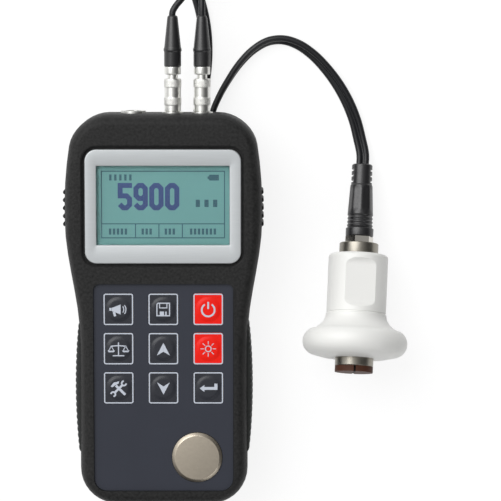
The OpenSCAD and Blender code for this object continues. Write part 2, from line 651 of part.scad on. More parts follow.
// Sockets in the end wall
module lead_socket(x) {
    difference() {
        union() {
            rod_y(x, socket_r, top_y - 10, top_y + 0.5);
            rod_y(x, socket_r + 0.6, top_y, top_y + flange_t);
        }
        rod_y(x, socket_bore_r, top_y - 7.4, top_y + 5);
    }
}
module tx_socket() { color([0.78, 0.78, 0.76]) lead_socket(tx_x); }
module rx_socket() { color([0.78, 0.78, 0.76]) lead_socket(rx_x); }
module data_socket() {
    color([0.78, 0.78, 0.76])
    difference() {
        union() {
            rod_y(-data_x, socket_r + 0.4, top_y - 10, top_y + 0.5);
            rod_y(-data_x, 4.8, top_y, top_y + flange_t + 0.5);
        }
        rod_y(-data_x, data_bore_d / 2, top_y + flange_t + 0.5 - 6.5, top_y + 5);
        for (a = [0:3]) translate([-data_x + 1.5 * cos(45 + 90 * a), top_y - 7.5, parting_z + 1.5 * sin(45 + 90 * a)])
            rotate([-90, 0, 0]) cylinder(r = 0.45, h = 6);
    }
}
module socket_nut(x, r) {
    translate([x, top_y - shell_wall - nut_t, parting_z]) rotate([-90, 0, 0])
    difference() {
        cylinder(r = r + 1.6, h = nut_t, $fn = 6);
        translate([0, 0, -1]) cylinder(r = r + 0.1, h = nut_t + 2);
    }
}
module socket_nuts() {
    color([0.70, 0.70, 0.68]) {
        socket_nut(tx_x, socket_r);
        socket_nut(rx_x, socket_r);
        socket_nut(-data_x, socket_r + 0.4);
    }
}

// Push-pull plugs
module plug_core(x) {
    union() {
        rod_y(x, nose_r, top_y - 7.2, nose_y);
        rod_y(x, core_r, nose_y - 1, plug_nut_y);
    }
}
module plug_sleeve(x) {
    r = plug_d / 2;
    difference() {
        union() {
            rod_y(x, r, sleeve_y, sleeve_y + sleeve_len);
            rod_y(x, r + 0.1, sleeve_y + 2.3, sleeve_y + 5.3);
            rod_y(x, r + 0.1, sleeve_y + sleeve_len - 3.3, sleeve_y + sleeve_len - 0.3);
        }
        rod_y(x, core_r + 0.35, sleeve_y - 1, sleeve_y + sleeve_len + 1);
    }
}
module plug_nut(x) {
    intersection() {
        rod_y(x, plug_d / 2, plug_nut_y, boot_y);
        translate([x, plug_nut_y - 1, parting_z]) rotate([-90, 0, 0]) cylinder(r = plug_d / 2 + 0.15, h = plug_nut_len + 2, $fn = 8);
    }
}
module boot(x) {
    r = plug_d / 2;
    translate([x, boot_y, parting_z]) rotate([-90, 0, 0]) rotate_extrude()
        polygon([[0, 0], [r, 0], [r + 0.1, 0.3], [r + 0.1, 5.8], [r + 0.3, 6], [r + 0.3, 6.7], [r + 0.15, 7],
            [1.95, boot_len - 0.3], [1.7, boot_len], [0, boot_len]]);
}
module tx_plug_core() { color([0.78, 0.78, 0.76]) plug_core(tx_x); }
module rx_plug_core() { color([0.78, 0.78, 0.76]) plug_core(rx_x); }
module tx_plug_sleeve() { color([0.80, 0.80, 0.79]) plug_sleeve(tx_x); }
module rx_plug_sleeve() { color([0.80, 0.80, 0.79]) plug_sleeve(rx_x); }
module tx_plug_nut() { color([0.80, 0.80, 0.79]) plug_nut(tx_x); }
module rx_plug_nut() { color([0.80, 0.80, 0.79]) plug_nut(rx_x); }
module tx_boot() { color([0.06, 0.06, 0.06]) boot(tx_x); }
module rx_boot() { color([0.06, 0.06, 0.06]) boot(rx_x); }

// Leads: a section swept along its route, rolled about the route's own direction
function unit(v) = v / norm(v);
function xyz(p) = [p[0], p[1], p[2]];
function heading(r, k) = unit(xyz(r[min(k + 1, len(r) - 1)]) - xyz(r[max(k - 1, 0)]));
function strand_section() = [for (a = [0:7]) strand_d / 2 * [cos(a * 45), sin(a * 45)]];
function twin_section() = [for (a = [0:9]) let (t = a * 36)
    strand_d / 2 * [cos(t) + (abs(cos(t)) < 0.1 ? 0 : sign(cos(t))), sin(t) / 0.951]];
module sweep(route, section) {
    n = len(section);
    m = len(route);
    rings = [for (k = [0:m - 1]) let (
            d = heading(route, k), s = unit(cross([0, 0, 1], d)), u = cross(d, s), a = route[k][3],
            w = cos(a) * s + sin(a) * u, t = cos(a) * u - sin(a) * s)
        [for (q = section) xyz(route[k]) - q[0] * w + q[1] * t]];
    polyhedron(
        points = [for (k = [0:m - 1], p = rings[k]) p],
        faces = concat(
            [[for (i = [n - 1:-1:0]) i]],
            [for (k = [0:m - 2], i = [0:n - 1]) [k * n + i, k * n + (i + 1) % n, (k + 1) * n + (i + 1) % n]],
            [for (k = [0:m - 2], i = [0:n - 1]) [k * n + i, (k + 1) * n + (i + 1) % n, (k + 1) * n + i]],
            [[for (i = [0:n - 1]) (m - 1) * n + i]]),
        convexity = 6);
}
function with_roll(r) = [for (p = r) len(p) == 4 ? p : [p[0], p[1], p[2], 0]];
module tx_lead() { color([0.05, 0.05, 0.05]) sweep(tx_route, strand_section()); }
module rx_lead() { color([0.05, 0.05, 0.05]) sweep(rx_route, strand_section()); }
module lead_splitter() {
    color([0.05, 0.05, 0.05])
    translate([split_start[0], split_start[1], split_z]) rotate([0, 0, split_dir])
    difference() {
        union() {
            translate([0, -lead_off, 0]) rotate([0, 90, 0]) cylinder(r = 2.2, h = split_len);
            translate([0, lead_off, 0]) rotate([0, 90, 0]) cylinder(r = 2.2, h = split_len);
            translate([0, -lead_off, -2.2]) cube([split_len, 2 * lead_off, 4.4]);
        }
        for (k = [0:2]) translate([4 + 2.4 * k, -6, 1.9]) cube([1, 12, 2]);
    }
}
module twin_inner() { color([0.05, 0.05, 0.05]) sweep(inner_route, twin_section()); }
module cable_coil() {
    color([0.05, 0.05, 0.05])
    translate([coil_x, coil_y, coil_z]) rotate_extrude()
        translate([coil_r + 0.2, 0]) square([coil_out_r - coil_r - 1, twin_w]);
}
module tie(a) {
    translate([coil_x, coil_y, 0]) rotate([0, 0, a])
    difference() {
        translate([coil_r - 2.4, -tie_w / 2, 0.05]) cube([coil_out_r - coil_r + 5.2, tie_w, coil_z + twin_w + 0.6]);
        translate([coil_r - 1.7, -tie_w, coil_z]) cube([coil_out_r - coil_r + 3.8, 2 * tie_w, twin_w]);
    }
}
module cable_ties() {
    color([0.08, 0.08, 0.08]) {
        tie(92);
        tie(312);
    }
}
module twin_cable() { color([0.05, 0.05, 0.05]) sweep(with_roll(twin_route), twin_section()); }

// Probe, built upright on its wear face and laid on its flange and boot
module laid() {
    translate([probe_x, probe_y, probe_z]) rotate([0, 0, -probe_lean]) rotate([-90 - probe_tilt, 0, 0]) children();
}
module probe_boot() {
    color([0.06, 0.06, 0.06])
    laid() translate([0, 0, probe_boot_s])
    difference() {
        rotate_extrude()
            polygon([[0, 0], [5.1, 0], [5.4, 0.4], [5.4, 3.2], [5.1, 3.5], [4.7, 3.7], [5.05, 4.4], [4.65, 5.1],
                [5.0, 5.8], [4.6, 6.5], [4.95, 7.2], [4.55, 7.9], [4.95, 8.5], [4.3, probe_boot_len - 8.4],
                [4.05, probe_boot_len - 7.9], [probe_tip_r + 0.1, probe_boot_len - 0.4],
                [probe_tip_r - 0.2, probe_boot_len], [0, probe_boot_len]]);
        for (k = [0:2], s = [-1, 1])
            translate([s * (probe_tip_r + 0.9) - 1.5, -4, probe_boot_len - 7.2 + 2.2 * k]) cube([3, 8, 0.9]);
    }
}
module probe_gland_nut() {
    color([0.80, 0.78, 0.74])
    laid() translate([0, 0, handle_top_s + collar_t]) rotate([0, 0, 10]) cylinder(r = 5.5, h = gland_t, $fn = 6);
}
module probe_body() {
    color([0.74, 0.73, 0.71])
    laid()
    difference() {
        union() {
            translate([0, 0, wear_t]) cylinder(d = stub_d, h = handle_top_s - wear_t);
            translate([0, 0, handle_top_s]) cylinder(d = stub_d + 0.3, h = collar_t);
        }
        translate([0, 0, wear_t - 1]) cylinder(r = 5.6, h = 12.7);
    }
}
module probe_handle() {
    r = handle_d / 2;
    f = flange_d / 2;
    bore = stub_d / 2 + 0.1;
    color([0.92, 0.92, 0.91])
    laid()
    difference() {
        rotate_extrude()
            polygon(concat(
                [[bore, stub_len], [f - flange_round - 3, stub_len]],
                [for (a = [-65:13:65]) [f - flange_round + flange_round * cos(a), flange_s + flange_round * sin(a) * 1.05]],
                [for (k = [0:7]) let (u = k / 7) [r + 0.25 + (f - r - 4.4) * pow(1 - u, 2.2), crease_s - 5.9 + 5.9 * u]],
                [[r - 0.1, crease_s + 0.3], [r, crease_s + 0.9], [r, handle_top_s - 1.4],
                    [r - 0.4, handle_top_s - 0.5], [r - 1.3, handle_top_s], [bore, handle_top_s]]));
        for (a = [0, 180]) rotate([0, 0, a + flat_turn]) flat_cutter(r);
    }
}

// Cutter of one flat: straight floor, ends run out on the cutter's radius
module flat_cutter(r) {
    half = sqrt(r * r - pow(r - flat_depth, 2)) + 0.15;
    run = 3;
    low = crease_s + 2 + run;
    high = handle_top_s - 2 - run;
    translate([-half, flat_depth - r - 2 * run, low]) cube([2 * half, 2 * run, high - low]);
    for (z = [low, high])
        translate([-half, flat_depth - r - run, z]) rotate([0, 90, 0]) cylinder(r = run, h = 2 * half);
}
module half_block() {
    intersection() {
        union() {
            cylinder(d = stub_d - 0.1, h = wear_t);
            cylinder(r = 5.5, h = wear_t + 11);
        }
        translate([0.4, -10, -1]) cube([20, 20, 30]);
    }
}
module delay_block_tx() { color([0.30, 0.19, 0.15]) laid() half_block(); }
module delay_block_rx() { color([0.30, 0.19, 0.15]) laid() mirror([1, 0, 0]) half_block(); }
module acoustic_barrier() {
    color([0.10, 0.10, 0.10])
    laid() translate([-0.4, -5.3, 0.05]) cube([0.8, 10.6, wear_t + 10.9]);
}

front_housing();
rear_housing();
battery_door();
grip_left();
grip_right();
lcd_bezel();
lcd_window();
lcd_module();
main_board();
buzzer();
keypad_circuit();
key_domes();
keypad_overlay();
key_sound();
key_save();
key_power();
key_balance();
key_up();
key_light();
key_tools();
key_down();
key_enter();
test_disc();
battery_left();
battery_right();
battery_springs();
battery_plates();
housing_screws();
tx_socket();
rx_socket();
data_socket();
socket_nuts();
tx_plug_core();
tx_plug_sleeve();
tx_plug_nut();
tx_boot();
rx_plug_core();
rx_plug_sleeve();
rx_plug_nut();
rx_boot();
tx_lead();
rx_lead();
lead_splitter();
twin_inner();
cable_coil();
cable_ties();
twin_cable();
probe_boot();
probe_gland_nut();
probe_body();
probe_handle();
delay_block_tx();
delay_block_rx();
acoustic_barrier();
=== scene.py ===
import math

import bmesh
import bpy
import numpy as np
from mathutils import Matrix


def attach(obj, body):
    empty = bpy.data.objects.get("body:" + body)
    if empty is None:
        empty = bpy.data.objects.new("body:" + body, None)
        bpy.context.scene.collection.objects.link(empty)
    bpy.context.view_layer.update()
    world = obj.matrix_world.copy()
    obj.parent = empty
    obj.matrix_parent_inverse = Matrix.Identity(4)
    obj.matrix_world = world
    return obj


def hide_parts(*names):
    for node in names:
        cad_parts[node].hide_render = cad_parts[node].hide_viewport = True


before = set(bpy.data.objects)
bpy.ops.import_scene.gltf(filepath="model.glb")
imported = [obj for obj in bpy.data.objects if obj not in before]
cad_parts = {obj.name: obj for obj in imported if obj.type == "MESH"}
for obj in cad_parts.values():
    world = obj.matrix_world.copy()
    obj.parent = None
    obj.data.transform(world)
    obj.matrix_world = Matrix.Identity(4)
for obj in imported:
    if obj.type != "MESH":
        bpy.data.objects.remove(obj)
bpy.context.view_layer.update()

# Housing: two injection-moulded shells of black ABS with a fine spark-eroded grain, closed by four screws
# from behind. The solids have the right walls and pockets, so each shell is the solid's own mesh, merged
# and shaded as the moulded curve that it is.

mm = 0.001


def grain_group():
    """Node group of a moulded grain: fine noise for bump and gloss, and slow clouds for uneven colour,
    both on Object coordinates, with their scales in cycles per metre."""
    tree = bpy.data.node_groups.new("surface_grain", "ShaderNodeTree")
    for socket, kind, start in (("Fine", "INPUT", 2000.0), ("Coarse", "INPUT", 60.0),
                                ("Grain", "OUTPUT", 0.0), ("Cloud", "OUTPUT", 0.0)):
        made = tree.interface.new_socket(socket, in_out=kind, socket_type="NodeSocketFloat")
        if kind == "INPUT":
            made.default_value = start
    given, out = tree.nodes.new("NodeGroupInput"), tree.nodes.new("NodeGroupOutput")
    place = tree.nodes.new("ShaderNodeTexCoord")
    for scale, result, detail in (("Fine", "Grain", 2.0), ("Coarse", "Cloud", 3.0)):
        noise = tree.nodes.new("ShaderNodeTexNoise")
        noise.inputs["Detail"].default_value = detail
        tree.links.new(place.outputs["Object"], noise.inputs["Vector"])
        tree.links.new(given.outputs[scale], noise.inputs["Scale"])
        tree.links.new(noise.outputs["Fac"], out.inputs[result])
    return tree


grain = grain_group()


def srgb(*colour):
    """Linear colour of three screen values from 0 to 255."""
    c = np.array(colour) / 255
    return tuple(np.where(c <= 0.04045, c / 12.92, ((c + 0.055) / 1.055) ** 2.4)) + (1.0,)


def finish(name, colour, group, shift, lift, tone, rough, depth, fixed):
    """Material with a node group's effect: its output shift moves the colour by the share tone, its output
    lift takes the roughness from one value of rough to the other and raises the surface by depth
    millimetres, and fixed values go straight to the shader's sockets. Gives it and the group's node."""
    made = bpy.data.materials.new(name)
    made.use_nodes = True
    tree = made.node_tree
    shader, effect = tree.nodes["Principled BSDF"], tree.nodes.new("ShaderNodeGroup")
    effect.node_tree = group
    mix, gloss, bump = (tree.nodes.new("ShaderNode" + kind) for kind in ("Mix", "MapRange", "Bump"))
    mix.data_type = "RGBA"
    base = np.array(srgb(*colour))[:3]
    mix.inputs["A"].default_value = tuple(np.append(base * (1 - tone), 1))
    mix.inputs["B"].default_value = tuple(np.append(np.minimum(base * (1 + tone), 1), 1))
    gloss.inputs["To Min"].default_value, gloss.inputs["To Max"].default_value = rough
    bump.inputs["Distance"].default_value = depth * mm
    for given, node, socket, result, taken in (
            (shift, mix, "Factor", "Result", "Base Color"), (lift, gloss, "Value", "Result", "Roughness"),
            (lift, bump, "Height", "Normal", "Normal")):
        tree.links.new(effect.outputs[given], node.inputs[socket])
        tree.links.new(node.outputs[result], shader.inputs[taken])
    for socket, value in fixed.items():
        shader.inputs[socket.replace("_", " ")].default_value = value
    return made, effect


def moulded(name, colour, rough, tone=0.12, fine=2200, coarse=70, depth=0.02, spread=0.1, speckled=False,
            **fixed):
    """Finish of a moulded or plain piece: clouds, or the grain if speckled, shift its colour, and the grain
    shifts its roughness by spread and lifts the surface."""
    made, effect = finish(name, colour, grain, "Grain" if speckled else "Cloud", "Grain", tone,
                          (rough - spread, rough + spread), depth, fixed)
    effect.inputs["Fine"].default_value = fine
    effect.inputs["Coarse"].default_value = coarse
    return made


def add_piece(name, mesh, material, body, slot, *stands_for):
    """Puts a mesh into the scene with its finish, on the body that it moves with."""
    made = bpy.data.objects.new(name, mesh)
    bpy.context.scene.collection.objects.link(made)
    mesh.materials.clear()
    mesh.materials.append(material)
    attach(made, body)
    if stands_for:
        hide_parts(*stands_for)
    return made


def merged(mesh, gap, crease, outwards=False):
    """Merges points closer than gap metres, and shades the mesh smooth apart from edges sharper than crease
    degrees. Faces turn outwards if asked."""
    work = bmesh.new()
    work.from_mesh(mesh)
    bmesh.ops.remove_doubles(work, verts=work.verts, dist=gap)
    if outwards:
        bmesh.ops.recalc_face_normals(work, faces=work.faces)
    work.to_mesh(mesh)
    work.free()
    mesh.shade_smooth()
    mesh.set_sharp_from_angle(angle=math.radians(crease))
    return mesh


def solid_piece(name, node, material, body, slot, crease=32):
    """Piece that shows a solid's own shape, with its loose triangles merged. Its normals are weighted by
    face area, so that flat walls stay flat beside their rounded edges."""
    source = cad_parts[node].data
    co = np.empty(len(source.vertices) * 3, np.float32)
    source.vertices.foreach_get("co", co)
    corners = np.empty(len(source.loops), np.int32)
    source.loops.foreach_get("vertex_index", corners)
    mesh = bpy.data.meshes.new(name)
    mesh.from_pydata(co.reshape(-1, 3).tolist(), [], corners.reshape(-1, 3).tolist())
    made = add_piece(name, merged(mesh, 2e-6, crease), material, body, slot, node)
    weighted = made.modifiers.new("even", "WEIGHTED_NORMAL")
    weighted.keep_sharp = True
    weighted.weight = 80


shell_black = moulded("shell_black", (39, 39, 39), 0.56, tone=0.9, fine=1000, depth=0.16, spread=0.2,
                      speckled=True, Specular_IOR_Level=0.17)
for name, node, body in (("front_shell", "front_housing", "gauge"), ("rear_shell", "rear_housing", "gauge"),
                         ("battery_cover", "battery_door", "battery_door")):
    solid_piece(name, node, shell_black, body, "shell_black")

# Inside the housing: a green board with a buzzer, the display module, two cells with their contacts, and the
# screws. They are stock parts, pressed or screwed in, and show only when the battery cover is off.


def dress(material, *nodes):
    """Gives solids that stay as they are their finish."""
    for node in nodes:
        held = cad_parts[node].data
        held.materials.clear()
        held.materials.append(material)


dress(moulded("board_green", (24, 92, 52), 0.4, fine=900, depth=0.01), "main_board")
dress(moulded("buzzer_black", (24, 24, 25), 0.45), "buzzer")
dress(moulded("film_amber", (196, 148, 62), 0.35), "keypad_circuit")
contact_steel = moulded("contact_steel", (200, 199, 195), 0.28, fine=3000, depth=0.005, Metallic=1.0)
dress(contact_steel, "key_domes", "battery_springs", "battery_plates")
dress(moulded("screw_steel", (150, 150, 152), 0.35, Metallic=1.0), "housing_screws")
dress(moulded("cell_wrap", (44, 78, 132), 0.3, tone=0.06), "battery_left", "battery_right")
dress(moulded("nut_nickel", (190, 188, 182), 0.3, Metallic=1.0), "socket_nuts")

# Grip pads: soft grey-black rubber, moulded with close upright ribs and pressed into a pocket in each side.
# Each pad is one grid of points, closed at its back and at both ends.


def surface(name, grid, uv=None, crease=38):
    """Mesh through grids of points, rows by columns, as many as stand side by side in one array: four
    neighbours make a face, points that meet at a seam or a pole are merged, and faces turn outwards. uv is a
    grid of its own map's values."""
    k = np.arange(grid.size // 3).reshape(-1, *grid.shape[-3:-1])
    quads = np.stack([k[:, :-1, :-1], k[:, :-1, 1:], k[:, 1:, 1:], k[:, 1:, :-1]], -1).reshape(-1, 4)
    mesh = bpy.data.meshes.new(name)
    mesh.from_pydata(grid.reshape(-1, 3).tolist(), [], quads.tolist())
    if uv is not None:
        layer = mesh.uv_layers.new(name="surface_map")
        layer.data.foreach_set("uv", uv.reshape(-1, 2)[quads.reshape(-1)].astype(np.float32).ravel())
    return merged(mesh, 1e-7, crease, outwards=True)


def grip_points(side):
    """Pad of half-oval section, x out of the side: out = bulge along the pad's length, times the section's
    superellipse, plus a ripple of one rib each pitch. Angle t runs from the lower edge to the upper one."""
    seat, length, low, z0, z1, bulge, ribs = 30.9, 49.6, -55.4, 11.2, 26.8, 1.5, 21
    u = np.linspace(0, 1, ribs * 12 + 1)[:, None]
    t = np.linspace(-90, 90, 49)[None, :]
    sweep = np.sign(t) * np.abs(np.sin(np.radians(t))) ** 0.6
    out = 1.2 + (0.1 + bulge * np.sin(np.pi * u).clip(0) ** 0.7) * np.cos(np.radians(t)) ** 0.5
    rib = 0.42 * np.abs(np.sin(np.pi * ribs * u)) ** 0.7 * np.cos(np.radians(t)) ** 0.35
    x = seat + out + rib
    y = low + length * u + 0 * t
    z = (z0 + z1) / 2 + (z1 - z0) / 2 * sweep + 0 * u
    face = np.stack([x + 0 * y, y, z], -1)
    back = face.copy()
    back[..., 0] = seat
    ring = np.concatenate([back[:, :1], face, back[:, -1:], back[:, :1]], 1)
    middle = ring.mean(1, keepdims=True)
    first, last = middle[:1].repeat(ring.shape[1], 1), middle[-1:].repeat(ring.shape[1], 1)
    return np.concatenate([first, ring, last], 0) * [side * mm, mm, mm]


grip_rubber = moulded("grip_rubber", (46, 48, 47), 0.7, tone=0.2, fine=1500, depth=0.03,
                      Specular_IOR_Level=0.3)
for name, side in (("grip_left", -1), ("grip_right", 1)):
    add_piece("rubber_" + name, surface(name, grip_points(side)), grip_rubber, "gauge", "grip_rubber", name)

# Display: a green reflective panel on the board, under a clear window that is bonded into the front shell.
# The reading and its frame lines are dark blue segments of the panel.


def lcd_material():
    """Grey-green panel: clouds in its colour, and a faint grid of cells, 0.5 mm apart, with darker lines."""
    made = moulded("lcd_panel", (126, 180, 179), 0.32, tone=0.05, fine=2600, coarse=45, depth=0.002)
    tree = made.node_tree
    place, cells = tree.nodes.new("ShaderNodeTexCoord"), tree.nodes.new("ShaderNodeTexBrick")
    cells.offset = 0
    for socket, value in (("Scale", 1), ("Mortar Size", 0.04 * mm), ("Brick Width", 0.5 * mm),
                          ("Row Height", 0.5 * mm)):
        cells.inputs[socket].default_value = value
    darker = tree.nodes.new("ShaderNodeMix")
    darker.data_type, darker.blend_type = "RGBA", "MULTIPLY"
    darker.inputs["B"].default_value = (0.86, 0.9, 0.9, 1)
    base = tree.nodes["Principled BSDF"].inputs["Base Color"]
    tree.links.new(place.outputs["Object"], cells.inputs["Vector"])
    tree.links.new(cells.outputs["Fac"], darker.inputs["Factor"])
    tree.links.new(base.links[0].from_socket, darker.inputs["A"])
    tree.links.new(darker.outputs["Result"], base)
    return made


dress(lcd_material(), "lcd_module")
window = moulded("window_clear", (250, 253, 252), 0.025, tone=0.01, spread=0.01, depth=0.001,
                 Transmission_Weight=1.0, IOR=1.2)
dress(window, "lcd_window")


def strip(a, b, across=1):
    """Grid between two lines, with across faces from one to the other: the second line is shared out evenly
    into as many points as the first has."""
    a, b = np.asarray(a, float), np.asarray(b, float)
    if len(a) != len(b):
        share, old = np.linspace(0, 1, len(a)), np.linspace(0, 1, len(b))
        b = np.stack([np.interp(share, old, b[:, i]) for i in (0, 1)], -1)
    k = np.linspace(0, 1, across + 1)[None, :, None]
    return a[:, None] * (1 - k) + b[:, None] * k


def along(points, step=0.6):
    """Points at most step apart along a line through the given corners."""
    p = np.asarray(points, float)
    cut = [np.linspace(p[i], p[i + 1], max(2, int(np.ceil(np.linalg.norm(p[i + 1] - p[i]) / step)) + 1))[:-1]
           for i in range(len(p) - 1)]
    return np.concatenate(cut + [p[-1:]])


def stroke(points, width, closed=False, step=0.6):
    """Ribbon of even width along a line: each point moves along the mean of its two sides' normals, by half
    the width over the cosine of half the turn, so that corners are mitred."""
    p = along(points, step)
    ahead = np.diff(p, axis=0)
    ahead /= np.linalg.norm(ahead, axis=1, keepdims=True)
    if closed:
        before, after = np.vstack([ahead[-1:], ahead]), np.vstack([ahead, ahead[:1]])
    else:
        before, after = np.vstack([ahead[:1], ahead]), np.vstack([ahead, ahead[-1:]])
    mean = before + after
    mean /= np.linalg.norm(mean, axis=1, keepdims=True)
    turn = np.clip((mean * after).sum(1, keepdims=True), 0.5, 1)
    normal = np.stack([-mean[:, 1], mean[:, 0]], -1) * width / 2 / turn
    return strip(p - normal, p + normal)


def arc(cx, cy, r, a0, a1, n=24):
    """Points of a circle's arc between two angles in degrees."""
    a = np.radians(np.linspace(a0, a1, n))
    return np.stack([cx + r * np.cos(a), cy + r * np.sin(a)], -1)


def bar(x0, y0, x1, y1):
    """Grid of a filled rectangle."""
    return strip(along([(x0, y0), (x1, y0)]), along([(x0, y1), (x1, y1)]), max(1, int(abs(y1 - y0) / 0.6)))


def printed(name, shapes, level, place, material, body, slot, thick=0.05):
    """Thin print: every shape's grid is laid at place on the height that level gives, faces up, and backed
    by thick millimetres. Neighbours lie 6 microns apart in height, so that shapes may cross."""
    verts, faces, count = [], [], 0
    for n, flat in enumerate(shapes):
        rows, cols = flat.shape[:2]
        k = count + np.arange(rows * cols).reshape(rows, cols)
        quads = np.stack([k[:-1, :-1], k[:-1, 1:], k[1:, 1:], k[1:, :-1]], -1).reshape(-1, 4)
        a, b, c = flat[0, 0], flat[1, 0], flat[0, 1]
        if (b[0] - a[0]) * (c[1] - a[1]) - (b[1] - a[1]) * (c[0] - a[0]) > 0:
            quads = quads[:, ::-1]
        flat = flat.reshape(-1, 2)
        height = level(flat[:, 0], flat[:, 1]) + 0.006 * (n % 5)
        verts.append(np.column_stack([flat[:, 0] + place[0], flat[:, 1] + place[1], height]) * mm)
        faces.append(quads)
        count += rows * cols
    mesh = bpy.data.meshes.new(name)
    mesh.from_pydata(np.concatenate(verts).tolist(), [], np.concatenate(faces).tolist())
    made = add_piece(name, mesh, material, body, slot)
    back = made.modifiers.new("back", "SOLIDIFY")
    back.thickness, back.offset = thick * mm, -1
    return made


def digit_shapes(x, y, w, h, pen):
    """Strokes of three digits in a box from x, y: loops and bars of one pen width with corners cut at 45
    degrees, as a dot panel draws them."""
    p, c, no_cuts = pen / 2, 1.15, 99
    x0, x1, y0, y1, ym = x + p, x + w - p, y + p, y + h - p, y + h * 0.52
    loop = [(x0 + c, y1), (x1 - c, y1), (x1, y1 - c), (x1, y0 + c), (x1 - c, y0), (x0 + c, y0), (x0, y0 + c),
            (x0, y1 - c), (x0 + c, y1)]
    eye = [(px, py if py > ym else py - y0 + ym - 0.9) for px, py in loop]
    hook = [(x1, y0 + c), (x1 - c, y0), (x0 + c, y0), (x0 - 0.2, y0 + c + 0.2)]
    bowl = [(x0 - p, ym + 0.1), (x1 - c, ym + 0.1), (x1, ym + 0.1 - c)] + hook
    lines = {"0": [(loop, True)], "9": [(eye, True), ([(x1, ym)] + hook, False)],
             "5": [([(x1 + p, y1), (x0, y1), (x0, ym + 0.1)], False), (bowl, False)]}
    return {figure: [stroke(line, pen, shut, no_cuts) for line, shut in parts]
            for figure, parts in lines.items()}


bezel_y, view_y, panel_z = 39.3, 39.7, 29.23


def on_panel(x, y):
    """Height of the panel's print: flat."""
    return np.full(np.shape(x), panel_z)


ink = moulded("lcd_ink", (66, 86, 140), 0.4, tone=0.06, depth=0.001)
line_ink = moulded("lcd_line", (64, 106, 120), 0.4, tone=0.06, depth=0.001)
reading = []
for k, figure in enumerate("5900"):
    reading += digit_shapes(-17.2 + 5.98 * k, -1.95, 5.45, 10.4, 1.9)[figure]
printed("lcd_reading", reading, on_panel, (0, view_y), ink, "gauge", "lcd_panel", 0.02)
edge_x, edge_high, edge_low, rule_y, line_w = 23.35, 12.9, -12.45, -7.1, 0.4
outline = [(-edge_x, edge_low), (edge_x, edge_low), (edge_x, edge_high), (-edge_x, edge_high),
           (-edge_x, edge_low)]
frame_lines = [stroke(outline, line_w, True), stroke([(-edge_x, rule_y), (edge_x, rule_y)], line_w)]
for x in (-10.5, -1.6, 7.3):
    frame_lines.append(stroke([(x, edge_low), (x, rule_y)], line_w))
for x0, x1 in ((-20.6, -13.2), (-8.2, -4.0), (0.6, 5.0), (10.2, 20.4)):
    frame_lines += [bar(x, -11.2, x + 0.9, -8.9) for x in np.arange(x0, x1, 1.5)]
frame_lines += [bar(x, 9.4, x + 0.9, 11.7) for x in np.arange(-20.4, -12.4, 1.9)]
frame_lines += [bar(x, -0.7, x + 1.6, 2.1) for x in (12.4, 15.7, 19.0)]
frame_lines += [bar(17.5, 9.4, 21.2, 11.6), bar(16.9, 10.0, 17.5, 11.0)]
printed("lcd_lines", frame_lines, on_panel, (0, view_y), line_ink, "gauge", "lcd_panel", 0.02)

# Bezel: a plastic frame with brushed silver plating, set in a groove of the front shell and bonded round the
# window. Its outer edge is rolled over and its opening is cut square.


def rounded_ring(half_w, half_h, r, n=14):
    """Points round a rectangle with corners of radius r, counter-clockwise, closed on its first point."""
    corners = [(half_w - r, half_h - r, 0), (r - half_w, half_h - r, 90), (r - half_w, r - half_h, 180),
               (half_w - r, r - half_h, 270)]
    ring = np.concatenate([arc(cx, cy, r, a, a + 90, n) for cx, cy, a in corners])
    return np.vstack([ring, ring[:1]])


def at_height(ring, z):
    """Flat points laid at height z."""
    return np.column_stack([ring, np.full(len(ring), z)])


def bezel_points():
    """Rings from the groove's floor up the outer edge, over a rolled edge to the flat face, and down the
    opening's small chamfer back to the floor: each ring is a rounded rectangle at its own height."""
    w, h, view_w, view_h, low, top, corner, roll = 29.65, 21.7, 25.25, 15.05, 30.3, 31.7, 4.5, 0.45
    rings = [(0, corner, low), (0, corner, top - roll)]
    for a in np.radians(np.linspace(15, 90, 6)):
        inset = roll * (1 - np.cos(a))
        rings.append((inset, corner - inset, top - roll * (1 - np.sin(a))))
    grid = [at_height(rounded_ring(w - inset, h - inset, r), z) for inset, r, z in rings]
    for out, r, z in ((0.5, 0.8, top), (0.15, 0.5, top - 0.12), (0, 0.35, top - roll), (0, 0.35, low)):
        ring = rounded_ring(view_w + out, view_h + out, r) + [0, view_y - bezel_y]
        grid.append(at_height(ring, z))
    grid.append(grid[0])
    return (np.array(grid) + [0, bezel_y, 0]) * mm


def lines_group():
    """Node group of drawn lines: noise on a given place, which is stretched along one way of the piece."""
    tree = bpy.data.node_groups.new("drawn_lines", "ShaderNodeTree")
    for socket in ("Place", "Stretch"):
        tree.interface.new_socket(socket, in_out="INPUT", socket_type="NodeSocketVector")
    tree.interface.new_socket("Lines", in_out="OUTPUT", socket_type="NodeSocketFloat")
    given, out = tree.nodes.new("NodeGroupInput"), tree.nodes.new("NodeGroupOutput")
    scaled, noise = tree.nodes.new("ShaderNodeVectorMath"), tree.nodes.new("ShaderNodeTexNoise")
    scaled.operation = "MULTIPLY"
    noise.inputs["Scale"].default_value = 1.0
    noise.inputs["Detail"].default_value = 4.0
    tree.links.new(given.outputs["Place"], scaled.inputs[0])
    tree.links.new(given.outputs["Stretch"], scaled.inputs[1])
    tree.links.new(scaled.outputs["Vector"], noise.inputs["Vector"])
    tree.links.new(noise.outputs["Fac"], out.inputs["Lines"])
    return tree


drawn_lines = lines_group()


def brushed(name, colour, rough, stretch, depth, tone, metal=1.0, use_map=False):
    """Metal finish with fine drawn lines, which shift the colour by the share tone and the roughness by a
    quarter, and lift the surface by depth millimetres."""
    made, effect = finish(name, colour, drawn_lines, "Lines", "Lines", tone, (rough * 0.75, rough * 1.25),
                          depth, {"Metallic": metal})
    effect.inputs["Stretch"].default_value = stretch
    tree = made.node_tree
    place = tree.nodes.new("ShaderNodeTexCoord")
    tree.links.new(place.outputs["UV" if use_map else "Object"], effect.inputs["Place"])
    return made


